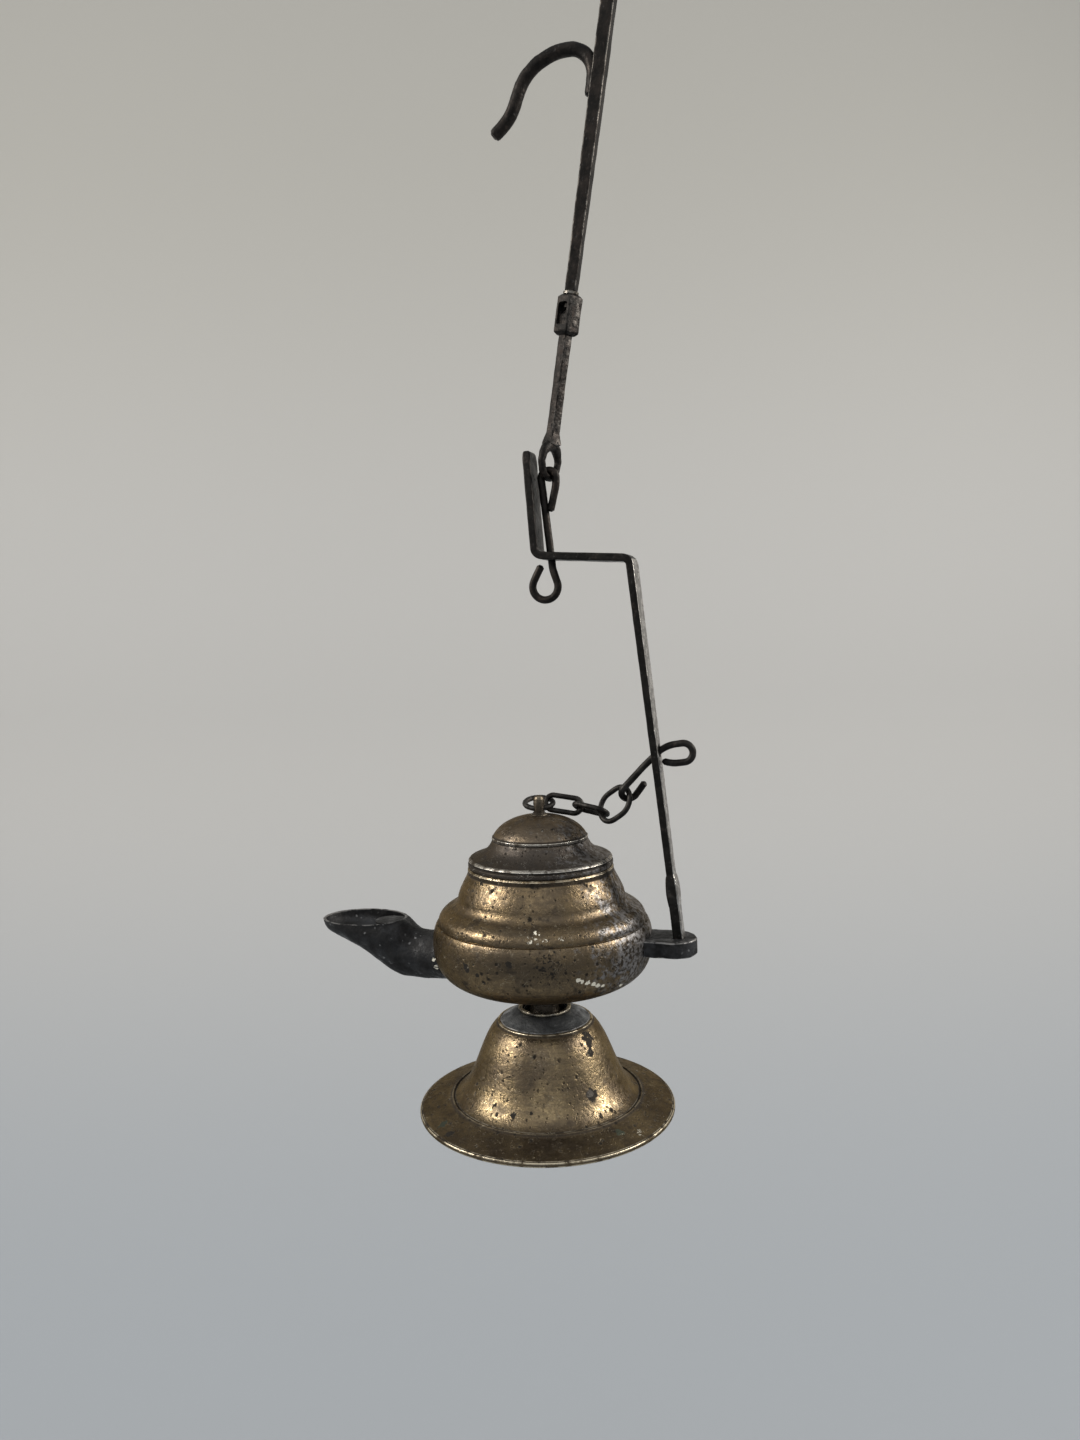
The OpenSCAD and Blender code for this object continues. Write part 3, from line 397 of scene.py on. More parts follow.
# spot: 1 inside a ragged ball of the given radius about a point
spot, groupIn, groupOut = newGroup(
    "spot", [("Place", "Vector", None), ("Centre", "Vector", (0, 0, 0)), ("Radius", "Float", 1.0),
             ("Ragged", "Float", 0.6), ("Grain", "Float", 1.0)], [("Mask", "Float")])
away = add(spot, "ShaderNodeVectorMath", {0: groupIn.outputs[0], 1: groupIn.outputs[1]}, operation="DISTANCE")
rate = arithmetic(spot, "DIVIDE", 1.0, groupIn.outputs[4])
noise = add(spot, "ShaderNodeTexNoise", {"Vector": groupIn.outputs[0], "Scale": rate, "Detail": 4.0})
ragged = arithmetic(spot, "MULTIPLY", arithmetic(spot, "SUBTRACT", noise.outputs[0], 0.5), groupIn.outputs[3])
ratio = arithmetic(spot, "ADD", arithmetic(spot, "DIVIDE", away.outputs["Value"], groupIn.outputs[2]),
                   arithmetic(spot, "MULTIPLY", ragged, 4.0))
spot.links.new(smoothRange(spot, ratio, 1.1, 0.85), groupOut.inputs[0])
print("node groups built")


# Finishes

def startMaterial(name):
    material = bpy.data.materials.new(name)
    material.use_nodes = True
    tree = material.node_tree
    tree.nodes.clear()
    shader = add(tree, "ShaderNodeBsdfPrincipled")
    output = add(tree, "ShaderNodeOutputMaterial", {"Surface": shader.outputs[0]})
    coordinates = add(tree, "ShaderNodeTexCoord")
    place = useGroup(tree, lampPlace, {"Vector": coordinates.outputs["Object"]})
    wear = add(tree, "ShaderNodeAttribute", attribute_name="edgeWearAndSheen").outputs["Fac"]
    hollow = add(tree, "ShaderNodeAttribute", attribute_name="hollow").outputs["Fac"]
    return material, tree, shader, place, wear, hollow


def layTone(tree, colour, rough, metal, mask, newColour, newRough, newMetal):
    # one layer over the others where its mask is 1
    colour = tint(tree, mask, colour, newColour)
    rough = add(tree, "ShaderNodeMix", {0: mask, 2: rough, 3: newRough}, data_type="FLOAT").outputs[0]
    metal = add(tree, "ShaderNodeMix", {0: mask, 2: metal, 3: newMetal}, data_type="FLOAT").outputs[0]
    return colour, rough, metal


def layMarks(tree, place, marks, colour, rough, metal):
    # a mark is a ragged spot; with specks it is only the dots of a fine grain inside that spot
    for centre, radius, ragged, specks, tone, toneRough, toneMetal in marks:
        mask = useGroup(tree, spot, {"Place": place, "Centre": centre, "Radius": radius, "Ragged": ragged,
                                     "Grain": 1.1})
        if specks:
            dots = useGroup(tree, blotches, {"Place": place, "Grain": specks, "Detail": 2.0, "Low": 0.545, "High": 0.585})
            mask = arithmetic(tree, "MULTIPLY", mask, dots)
        colour, rough, metal = layTone(tree, colour, rough, metal, mask, tone, toneRough, toneMetal)
    return colour, rough, metal


def agedBrass(name, values, marks=(), greySide=0.0):
    # brass under a brown film, mottled and dull between small polished places; grey tarnish lies on one side,
    # darker in the hollows, painted shade darkening the film below a height, dark pits all over and bare metal on the
    # edges
    material, tree, shader, place, wear, hollow = startMaterial(name)
    split = add(tree, "ShaderNodeSeparateXYZ", {0: place})
    cloud = useGroup(tree, blotches, {"Place": place, "Grain": values["cloudGrain"], "Detail": 6.0,
                                      "Low": 0.36, "High": 0.66, "Shift": values["shift"]})
    fine = useGroup(tree, blotches, {"Place": place, "Grain": 0.9, "Detail": 5.0, "Low": 0.34, "High": 0.68})
    grit = useGroup(tree, blotches, {"Place": place, "Grain": 0.32, "Detail": 3.0, "Low": 0.34, "High": 0.66})
    colour = tint(tree, cloud, values["film"], values["brass"])
    colour = tint(tree, arithmetic(tree, "MULTIPLY", fine, 0.45), colour, values["dull"])
    colour = tint(tree, arithmetic(tree, "MULTIPLY", grit, 0.3), colour, values["dull"])
    flat = add(tree, "ShaderNodeVectorMath", {0: place, 1: (0.04, 0.04, 1.0)}, operation="MULTIPLY")
    turned = useGroup(tree, blotches, {"Place": flat.outputs[0], "Grain": 0.55, "Detail": 3.0, "Low": 0.4, "High": 0.62})
    colour = tint(tree, arithmetic(tree, "MULTIPLY", turned, 0.28), colour, values["dull"])
    rough = add(tree, "ShaderNodeMapRange", {"Value": fine, "To Min": values["rough"],
                                             "To Max": values["rough"] + 0.2}).outputs[0]
    rough = arithmetic(tree, "ADD", rough, arithmetic(tree, "MULTIPLY", grit, 0.07))
    metal = 0.93
    # painted shade: below a set height the film turns soot-dark by the share low, standing in for the darker room the
    # lower bowl reflects and the dimmer light on the foot's brim and the lid's flare
    under = smoothRange(tree, split.outputs[2], values["shadeStartsBelow"], values["shadeFullBelow"])
    under = arithmetic(tree, "MULTIPLY", under, values["low"])
    colour, rough, metal = layTone(tree, colour, rough, metal, under, values["sootAndShadeTone"], 0.5, 0.85)
    soot = useGroup(tree, blotches, {"Place": place, "Grain": 2.6, "Detail": 8.0, "Low": 0.54, "High": 0.66,
                                     "Shift": values["shift"] + 31})
    soot = arithmetic(tree, "MULTIPLY", soot, values["soot"])
    colour, rough, metal = layTone(tree, colour, rough, metal, soot, values["sootAndShadeTone"], 0.58, 0.8)
    if greySide:
        side = arithmetic(tree, "ADD", arithmetic(tree, "MULTIPLY", split.outputs[0], 0.95),
                          arithmetic(tree, "MULTIPLY", split.outputs[1], 0.3))
        crumb = add(tree, "ShaderNodeTexNoise", {"Vector": place, "Scale": 0.42, "Detail": 9.0, "Roughness": 0.72})
        side = arithmetic(tree, "ADD", side, arithmetic(tree, "MULTIPLY", arithmetic(
            tree, "SUBTRACT", crumb.outputs[0], 0.5), 46.0))
        grey = arithmetic(tree, "MULTIPLY", smoothRange(tree, side, values["greyFrom"], values["greyFrom"] + 8),
                          greySide)
        crumbs = useGroup(tree, blotches, {"Place": place, "Grain": 0.8, "Detail": 4.0, "Low": 0.42, "High": 0.6})
        greyTone = tint(tree, crumbs, values["grey"], values["sootAndShadeTone"])
        colour, rough, metal = layTone(tree, colour, rough, metal, grey, greyTone, 0.42, 0.8)
    # darker in the hollows and creases
    hollowDark = arithmetic(tree, "MULTIPLY", smoothRange(tree, hollow, 0.03, 0.4), values["hollowDark"])
    colour, rough, metal = layTone(tree, colour, rough, metal, hollowDark, (0.014, 0.011, 0.009), 0.7, 0.3)
    few = values["pitFew"]
    for height, half in values["pitBands"]:
        off = arithmetic(tree, "ABSOLUTE", arithmetic(tree, "SUBTRACT", split.outputs[2], height))
        few = arithmetic(tree, "SUBTRACT", few, smoothRange(tree, off, half + 1.2, half, 0.0, 0.09))
    dots = useGroup(tree, pits, {"Place": place, "Spacing": values["pitSpacing"], "Radius": values["pitRadius"],
                                 "Cluster": 5.0, "Few": few})
    small = useGroup(tree, pits, {"Place": place, "Spacing": 0.75, "Radius": 0.26, "Cluster": 3.0,
                                  "Few": arithmetic(tree, "SUBTRACT", few, 0.03)})
    allPits = arithmetic(tree, "MAXIMUM", dots, arithmetic(tree, "MULTIPLY", small, 0.85))
    colour, rough, metal = layTone(tree, colour, rough, metal, allPits, (0.012, 0.01, 0.008), 0.75, 0.2)
    colour, rough, metal = layMarks(tree, place, marks, colour, rough, metal)
    rubbed = arithmetic(tree, "MULTIPLY", wear, useGroup(tree, blotches, {
        "Place": place, "Grain": 2.0, "Detail": 5.0, "Low": 0.3, "High": 0.56}))
    rubbed = smoothRange(tree, rubbed, 0.12, 0.7, 0.0, values["edge"])
    colour, rough, metal = layTone(tree, colour, rough, metal, rubbed, values["bright"], 0.3, 1.0)
    lines = useGroup(tree, scratches, {"Place": place, "Turn": (0.3, 0.4, 0.7), "Width": 0.012})
    colour = tint(tree, arithmetic(tree, "MULTIPLY", lines, 0.35), colour, values["bright"])
    tree.links.new(colour, shader.inputs["Base Color"])
    tree.links.new(rough, shader.inputs["Roughness"])
    tree.links.new(metal, shader.inputs["Metallic"])
    shader.inputs["Specular Tint"].default_value = (*values["rim"], 1)
    height = arithmetic(tree, "SUBTRACT", arithmetic(tree, "MULTIPLY", fine, 0.3), allPits)
    height = arithmetic(tree, "SUBTRACT", height, arithmetic(tree, "MULTIPLY", grit, 0.15))
    bump = add(tree, "ShaderNodeBump", {"Strength": values["bump"], "Distance": 0.00012, "Height": height})
    tree.links.new(bump.outputs[0], shader.inputs["Normal"])
    return material


def darkIron(name, values):
    # forge-blackened iron, rubbed on its edges and raised places, with rust in patches and darker in the hollows; where
    # a piece's edge mask carries it, a painted sheen lies on one face
    material, tree, shader, place, wear, hollow = startMaterial(name)
    cloud = useGroup(tree, blotches, {"Place": place, "Grain": values["grain"], "Detail": 6.0, "Low": 0.35,
                                      "High": 0.68, "Shift": values["shift"]})
    colour = tint(tree, cloud, values["black"], values["iron"])
    rough = add(tree, "ShaderNodeMapRange", {"Value": cloud, "To Min": values["rough"] + 0.14,
                                             "To Max": values["rough"]}).outputs[0]
    metal = 0.85
    rust = useGroup(tree, blotches, {"Place": place, "Grain": 1.3, "Detail": 6.0, "Low": 0.56, "High": 0.7,
                                     "Shift": values["shift"] + 11})
    rust = arithmetic(tree, "MULTIPLY", rust, values["rust"])
    colour, rough, metal = layTone(tree, colour, rough, metal, rust, values["rustTone"], 0.8, 0.25)
    # bright where the edge mask is high: worn edges, and on the drop rod, swivel block and handle strip also a painted
    # sheen on the +x face
    rubbed = arithmetic(tree, "MULTIPLY", wear, useGroup(tree, blotches, {
        "Place": place, "Grain": 1.6, "Detail": 5.0, "Low": 0.38, "High": 0.6}))
    rubbed = arithmetic(tree, "MAXIMUM", rubbed, arithmetic(tree, "MULTIPLY", wear, values["even"]))
    rubbed = smoothRange(tree, rubbed, 0.1, 0.8, 0.0, values["edge"])
    colour, rough, metal = layTone(tree, colour, rough, metal, rubbed, values["bright"], values["polish"], 1.0)
    # darker in the hollows and creases
    hollowDark = smoothRange(tree, hollow, 0.05, 0.5)
    colour, rough, metal = layTone(tree, colour, rough, metal, hollowDark, (0.008, 0.007, 0.006), 0.8, 0.2)
    dots = useGroup(tree, pits, {"Place": place, "Spacing": 0.8, "Radius": 0.22, "Cluster": 4.0, "Few": 0.45})
    colour, rough, metal = layTone(tree, colour, rough, metal, dots, (0.008, 0.007, 0.006), 0.85, 0.1)
    tree.links.new(colour, shader.inputs["Base Color"])
    tree.links.new(rough, shader.inputs["Roughness"])
    tree.links.new(metal, shader.inputs["Metallic"])
    lumps = add(tree, "ShaderNodeTexNoise", {"Vector": place, "Scale": 1.3, "Detail": 5.0, "Roughness": 0.6})
    height = arithmetic(tree, "SUBTRACT", lumps.outputs[0], arithmetic(tree, "MULTIPLY", dots, 0.6))
    bump = add(tree, "ShaderNodeBump", {"Strength": values["bump"], "Distance": 0.0002, "Height": height})
    tree.links.new(bump.outputs[0], shader.inputs["Normal"])
    return material


def greyLead(name, values, marks=()):
    # dark lead-grey metal, sooted in patches, with pale specks, rubbed edges and a cast skin
    material, tree, shader, place, wear, hollow = startMaterial(name)
    cloud = useGroup(tree, blotches, {"Place": place, "Grain": values["grain"], "Detail": 7.0, "Low": 0.38,
                                      "High": 0.66, "Shift": values["shift"]})
    colour = tint(tree, cloud, values["dark"], values["grey"])
    rough = add(tree, "ShaderNodeMapRange", {"Value": cloud, "To Min": 0.62, "To Max": values["rough"]}).outputs[0]
    metal = values["metal"]
    soot = useGroup(tree, blotches, {"Place": place, "Grain": 2.2, "Detail": 7.0, "Low": 0.5, "High": 0.66,
                                     "Shift": values["shift"] + 17})
    soot = arithmetic(tree, "MULTIPLY", soot, values["soot"])
    colour, rough, metal = layTone(tree, colour, rough, metal, soot, (0.012, 0.011, 0.011), 0.8, 0.2)
    chalk = useGroup(tree, pits, {"Place": place, "Spacing": 1.1, "Radius": 0.28, "Cluster": 4.0, "Few": 0.5})
    chalk = arithmetic(tree, "MULTIPLY", chalk, values["chalk"])
    colour, rough, metal = layTone(tree, colour, rough, metal, chalk, values["pale"], 0.6, 0.4)
    # darker in the hollows and creases
    hollowDark = smoothRange(tree, hollow, 0.05, 0.5)
    colour, rough, metal = layTone(tree, colour, rough, metal, hollowDark, (0.01, 0.009, 0.009), 0.7, 0.3)
    colour, rough, metal = layMarks(tree, place, marks, colour, rough, metal)
    rubbed = arithmetic(tree, "MULTIPLY", wear, useGroup(tree, blotches, {
        "Place": place, "Grain": 1.8, "Detail": 5.0, "Low": 0.35, "High": 0.6}))
    rubbed = smoothRange(tree, rubbed, 0.1, 0.8, 0.0, values["edge"])
    colour, rough, metal = layTone(tree, colour, rough, metal, rubbed, values["bright"], 0.36, 0.95)
    tree.links.new(colour, shader.inputs["Base Color"])
    tree.links.new(rough, shader.inputs["Roughness"])
    tree.links.new(metal, shader.inputs["Metallic"])
    lumps = add(tree, "ShaderNodeTexNoise", {"Vector": place, "Scale": 0.9, "Detail": 6.0, "Roughness": 0.62})
    bump = add(tree, "ShaderNodeBump", {"Strength": values["bump"], "Distance": 0.0003, "Height": lumps.outputs[0]})
    tree.links.new(bump.outputs[0], shader.inputs["Normal"])
    return material


# low and the two heights before it set painted shade: how dark the film turns below those heights
brassTones = {"brass": (0.29, 0.208, 0.112), "film": (0.16, 0.119, 0.074), "dull": (0.08, 0.065, 0.049),
              "bright": (0.8, 0.7, 0.52), "grey": (0.24, 0.236, 0.24), "sootAndShadeTone": (0.032, 0.028, 0.025),
              "rim": (0.5, 0.44, 0.36), "cloudGrain": 8.0, "shift": 0.0, "rough": 0.2, "soot": 0.7, "greyFrom": 8.5,
              "pitSpacing": 1.6, "pitRadius": 0.46, "pitFew": 0.5, "pitBands": (), "edge": 0.75, "bump": 0.7,
              "hollowDark": 0.85, "shadeFullBelow": 26.0, "shadeStartsBelow": 33.0, "low": 0.6}
darkMark = (0.018, 0.016, 0.014)
chalkMark = (0.78, 0.74, 0.62)
greenMark = (0.04, 0.047, 0.034)

# the bowl below 33 mm carries painted shade
fontBrass = agedBrass("fontBrass", dict(brassTones, shift=3.0, pitBands=((35.6, 1.2), (48.8, 1.6))), greySide=0.9, marks=[
    ((4.6, -19.85, 41.2), 1.5, 0.6, 0.55, chalkMark, 0.6, 0.1), ((6.4, -19.85, 40.6), 0.8, 0.6, 0.55, chalkMark, 0.6, 0.1),
    ((9.3, -18.55, 40.84), 0.5, 0.6, 0.5, chalkMark, 0.6, 0.1), ((12.28, -18.32, 33.2), 0.42, 1.1, 0, chalkMark, 0.5, 0.2),
    ((13.0, -17.8, 32.9), 0.3, 1.2, 0, chalkMark, 0.5, 0.2), ((13.7, -17.2, 32.5), 0.42, 1.2, 0, chalkMark, 0.5, 0.2),
    ((14.5, -16.2, 32.05), 0.36, 1.2, 0, chalkMark, 0.5, 0.2), ((15.3, -15.3, 31.6), 0.4, 1.2, 0, chalkMark, 0.5, 0.2),
    ((15.95, -14.4, 31.2), 0.32, 1.0, 0, chalkMark, 0.5, 0.2), ((18.26, -9.63, 29.9), 0.5, 0.7, 0, chalkMark, 0.5, 0.2),
    ((-8.94, -20.36, 34.9), 0.9, 0.7, 0, darkMark, 0.7, 0.2), ((-6.49, -21.14, 33.8), 0.4, 0.5, 0, darkMark, 0.7, 0.2),
    ((0.1, -22.2, 36.6), 0.6, 0.6, 0, darkMark, 0.7, 0.2), ((7.39, -21.0, 36.2), 2.6, 1.2, 0.7, darkMark, 0.7, 0.2)])
# the brim below 4.6 mm carries painted shade
footBrass = agedBrass("footBrass", dict(brassTones, shift=14.0, soot=0.5, shadeFullBelow=2.3, shadeStartsBelow=4.6, low=0.35,
                                        brass=(0.35, 0.26, 0.14), pitBands=((3.0, 1.0),)), marks=[
    ((11.97, -9.63, 7.56), 1.25, 0.45, 0, darkMark, 0.6, 0.3), ((11.8, -9.8, 7.75), 0.75, 0.5, 0, (0.075, 0.068, 0.06), 0.5, 0.6),
    ((10.02, -4.56, 16.8), 1.2, 1.0, 0, darkMark, 0.65, 0.3), ((10.92, -5.92, 14.4), 0.8, 0.9, 0, darkMark, 0.65, 0.3),
    ((10.4, -5.2, 15.6), 0.6, 1.0, 0, darkMark, 0.65, 0.3), ((-1.69, -16.73, 5.1), 0.6, 0.6, 0, darkMark, 0.7, 0.2),
    ((-5.45, -16.27, 4.67), 0.4, 0.6, 0, darkMark, 0.7, 0.2), ((1.79, -16.29, 5.69), 0.4, 0.6, 0, darkMark, 0.7, 0.2),
    ((-6.03, -15.09, 5.95), 0.35, 0.5, 0, darkMark, 0.7, 0.2), ((-16.49, -16.56, 1.73), 1.0, 1.0, 0, greenMark, 0.7, 0.3),
    ((-13.97, -19.69, 1.5), 0.7, 1.0, 0, darkMark, 0.7, 0.3), ((18.14, -12.38, 2.13), 0.8, 1.0, 0, greenMark, 0.7, 0.3),
    ((21.82, -10.54, 1.48), 0.8, 0.8, 0.5, chalkMark, 0.5, 0.5)])
# the rim and flare below 57 mm carry painted shade
lidBrass = agedBrass("lidBrass", dict(brassTones, shift=27.0, brass=(0.25, 0.192, 0.13), film=(0.15, 0.12, 0.09),
                                      soot=0.7, sootAndShadeTone=(0.055, 0.049, 0.045), greyFrom=3.0, rough=0.27, edge=0.95, shadeFullBelow=55.0, shadeStartsBelow=57.0,
                                      low=0.8, cloudGrain=5.0, pitBands=((54.5, 1.4),), bright=(0.95, 0.9, 0.8)), greySide=0.7)
knobBrass = agedBrass("knobBrass", dict(brassTones, shift=29.0, brass=(0.1, 0.078, 0.055), film=(0.05, 0.042, 0.034),
                                        low=0.0, edge=0.5, rough=0.3))
plainBrass = agedBrass("plainBrass", dict(brassTones, shift=40.0, low=0.0))
stemBrass = agedBrass("stemBrass", dict(brassTones, shift=45.0, brass=(0.14, 0.12, 0.09), film=(0.07, 0.06, 0.05),
                                        low=0.0, soot=0.8))
paleBrass = agedBrass("paleBrass", dict(brassTones, shift=45.0, brass=(0.42, 0.4, 0.36), film=(0.2, 0.19, 0.17),
                                        low=0.0, soot=0.5))

ironTones = {"black": (0.012, 0.011, 0.01), "iron": (0.038, 0.034, 0.031), "bright": (0.36, 0.335, 0.3),
             "rustTone": (0.04, 0.025, 0.017), "grain": 3.0, "shift": 0.0, "rough": 0.4, "rust": 0.5, "edge": 0.5,
             "polish": 0.34, "even": 0.0, "bump": 0.6}
hangerIron = darkIron("hangerIron", dict(ironTones, shift=2.0, edge=0.22, iron=(0.032, 0.026, 0.022)))
# its bright tone also paints the sheen on the +x face of the drop rod and swivel block
dropIron = darkIron("dropIron", dict(ironTones, shift=9.0, rust=0.8, edge=0.5, bright=(0.24, 0.22, 0.2), bump=0.9, grain=2.0,
                                     iron=(0.026, 0.021, 0.018)))
# its bright tone also paints the reflection on the handle leg's +x face
stripIron = darkIron("stripIron", dict(ironTones, shift=17.0, rough=0.34, edge=0.9, bright=(0.6, 0.57, 0.53),
                                       polish=0.26, even=0.5, iron=(0.03, 0.027, 0.024)))
chainIron = darkIron("chainIron", dict(ironTones, shift=23.0, rough=0.44, edge=0.35, iron=(0.03, 0.028, 0.026)))

leadTones = {"grey": (0.032, 0.032, 0.033), "dark": (0.012, 0.0115, 0.0115), "pale": (0.3, 0.3, 0.3),
             "bright": (0.3, 0.29, 0.28), "grain": 3.5, "shift": 0.0, "rough": 0.28, "metal": 0.6, "soot": 0.6,
             "chalk": 0.55, "edge": 0.7, "bump": 0.8}
spoutLead = greyLead("spoutLead", dict(leadTones, shift=5.0), marks=[
    ((-22.19, -5.26, 30.81), 0.45, 0.9, 0.5, chalkMark, 0.5, 0.2), ((-21.64, -5.15, 29.12), 0.5, 1.0, 0.5, chalkMark, 0.5, 0.2)])
lugLead = greyLead("lugLead", dict(leadTones, shift=12.0, grey=(0.05, 0.05, 0.053), rough=0.36))
discLead = greyLead("discLead", dict(leadTones, shift=33.0, grey=(0.19, 0.196, 0.2), dark=(0.075, 0.079, 0.081),
                                     chalk=0.4, bump=0.9))
print("finishes built")


# Foot

foot = {"rimRadius": 26.2, "creaseRadius": 19.0, "creaseHeight": 3.0, "neckRadius": 9.9, "height": 18.5,
        "sheet": 0.8, "bead": 0.12, "creaseShine": 0.35, "wobble": ((0.0016, 2, 0.7), (0.0009, 3, 2.1))}


def makeFoot():
    rim, crease, creaseH, neck, top = (foot[k] for k in ("rimRadius", "creaseRadius", "creaseHeight", "neckRadius",
                                                        "height"))
    brim = cubic((rim - 0.45, 1.05), (rim - 2.2, 1.5), (crease + 2.6, 2.15), (crease + 0.95, creaseH - 0.28), 16)
    bead = np.array([[crease + 0.75, creaseH - 0.16], [crease + 0.55, creaseH + foot["bead"]],
                     [crease + 0.3, creaseH + foot["bead"]], [crease + 0.12, creaseH - 0.12],
                     [crease - 0.02, creaseH - 0.1]])
    flare = cubic((crease - 0.1, creaseH + 0.06), (crease - 4.5, creaseH + 2.5), (neck + 3.7, top - 3.4),
                  (neck, top - 0.5), 60)
    inner = offsetLine(joined(brim, flare), foot["sheet"])
    inner = inner[inner[:, 1] < top - 1.3][::-1]
    outline = joined([[rim - 1.1, 0], [rim - 0.2, 0], [rim, 0.22], [rim, 0.72], [rim - 0.12, 0.95], [rim - 0.3, 0.95]],
                     brim, bead, flare, [[neck - 0.15, top - 0.15], [neck - 0.35, top], [neck - 0.65, top],
                                         [neck - 0.65, top - 0.9]], inner)
    outline = softCorners(outline, 0.1, 2)
    atCrease = (abs(outline[:, 0] - crease) < 1.2) & (abs(outline[:, 1] - creaseH) < 0.7)
    return makePiece("footBell", lathe(outline, 192, foot["wobble"]), footBrass, "lamp", ["foot_bell"], wrapRows=True,
                     rubbing=np.where(atCrease, foot["creaseShine"], 1.0)[:, None])


disc = {"bore": 2.05, "radius": 9.22, "edge": 18.4, "underside": 17.3, "top": 20.3, "ridge": 5.5, "dish": 4.4, "dishDepth": 0.55}


def makeDisc():
    cone = cubic((disc["radius"] - 0.1, disc["edge"] + 0.2), (disc["radius"] - 1.2, disc["edge"] + 0.6),
                 (disc["ridge"] + 1.2, disc["top"] - 0.25),
                 (disc["ridge"], disc["top"]), 18)
    outline = joined([[disc["bore"], disc["underside"]], [disc["radius"] - 0.7, disc["underside"]],
                      [disc["radius"], disc["underside"] + 0.3], [disc["radius"], disc["edge"]]], cone,
                     [[disc["dish"], disc["top"]], [disc["dish"] - 0.3, disc["top"] - disc["dishDepth"]],
                      [disc["bore"], disc["top"] - disc["dishDepth"]]])
    grid = roughened(lathe(softCorners(outline, 0.15), 120), 0.035, 2.4, 5)
    return makePiece("footDisc", grid, discLead, "lamp", ["foot_disc"], wrapRows=True)


stem = {"flange": 3.4, "stud": 2.0, "discTop": 19.75, "fontBottom": 24.8, "rivet": 16.5, "collarRadius": 5.0,
        "collar": 0.8, "collarHeight": 20.7}


def makeStem():
    flange, stud = stem["flange"], stem["stud"]
    outline = joined([[0, stem["rivet"] - 0.8], [stud + 0.4, stem["rivet"] - 0.8], [stud + 0.8, stem["rivet"] - 0.3],
                      [stud + 0.8, stem["rivet"]], [stud, stem["rivet"]], [stud, stem["discTop"]]],
                     cubic((flange - 0.15, stem["discTop"]), (flange - 0.9, 21.4), (flange - 0.9, 23.2),
                           (flange - 0.1, stem["fontBottom"] - 0.5), 14),
                     [[flange, stem["fontBottom"] - 0.35], [flange, stem["fontBottom"]], [0, stem["fontBottom"]]])
    makePiece("lampStem", lathe(softCorners(outline, 0.1), 72), stemBrass, "lamp", ["stem"], wrapRows=True)
    angle = np.linspace(0, 2 * np.pi, 20, endpoint=False)
    half = stem["collar"] / 2
    bead = np.stack([stem["collarRadius"] + half * np.cos(angle), stem["collarHeight"] + half * np.sin(angle)], 1)
    return makePiece("stemCollar", roughened(lathe(bead, 96), 0.03, 2.0, 8), paleBrass, "lamp", ["stem_collar"],
                     wrapRows=True, wear=0.5)


makeFoot()
makeDisc()
makeStem()
print("foot and stem built")


# Font and lid

font = {"bottom": 24.8, "seam": 39.35, "neckTop": 50.4, "radius": 22.0, "neck": 14.6, "sheet": 0.8, "step": 0.3, "swell": 0.3, "seamShine": 0.15,
        "wickHole": 3.2, "wickHoleHeight": 32.1, "wobble": ((0.0012, 2, 1.1), (0.0008, 5, 0.4))}


def makeFont():
    bottom, seam, top, radius, neck, sheet = (font[k] for k in ("bottom", "seam", "neckTop", "radius", "neck", "sheet"))
    swell, widest = radius + font["swell"], seam - 4.05
    outer = joined(cubic((5, bottom), (radius - 7.5, bottom + 2.05), (radius + 0.15, bottom + 1.2), (swell, widest), 56),
                   cubic((swell, widest), (swell, seam - 2.3), (radius, seam - 0.9), (radius - 0.55, seam - 0.06), 22)[1:])
    inner = offsetLine(outer, sheet)
    inner = inner[inner[:, 1] < seam - sheet][::-1]
    outline = joined([[0, bottom]], outer, [[radius - 0.75, seam], [radius - 0.6 - sheet, seam]], inner,
                     [[0, bottom + sheet]])
    lower = makePiece("fontLower", lathe(softCorners(outline, 0.08, 2), 192, font["wobble"]), fontBrass, "lamp",
                      ["font_lower"], wrapRows=True, rubbing=font["seamShine"])
    hole = rodGrid((-radius - 4, 0, font["wickHoleHeight"]), (0, 0, font["wickHoleHeight"]), font["wickHole"])
    cutAway(lower, [hole])
    step = radius - 0.6 - font["step"]
    outer = joined(cubic((step, seam), (step, seam + 1.35), (radius - 1.4, seam + 2.35), (radius - 3.8, seam + 3.4), 26),
                   cubic((radius - 3.8, seam + 3.4), (radius - 4.5, seam + 3.75), (radius - 4.95, seam + 4.55),
                         (radius - 5.1, seam + 5.35), 14)[1:],
                   cubic((radius - 5.1, seam + 5.35), (radius - 5.5, seam + 7.05), (neck + 0.7, top - 2.4),
                         (neck + 0.2, top - 1.0), 26)[1:])
    inner = offsetLine(outer, sheet)
    inner[:, 1] = np.maximum(inner[:, 1], seam)
    inner = inner[inner[:, 1] < top - 2.5][::-1]
    outline = joined(outer, [[neck + 0.2, top - 0.3], [neck, top], [neck - sheet, top], [neck - sheet, top - 2.1]],
                     inner)
    return makePiece("fontUpper", lathe(softCorners(outline, 0.08, 2), 192, font["wobble"]), fontBrass, "lamp",
                     ["font_upper"], wrapRows=True)


lid = {"bottom": 50.45, "shoulder": 52.2, "domeBase": 56.0, "top": 60.6, "rim": 14.7, "dome": 9.6, "sheet": 0.7,
       "knob": 1.25, "knobHeight": 4.0, "hole": 0.9, "holeHeight": 1.25, "knobTurn": 17.0}


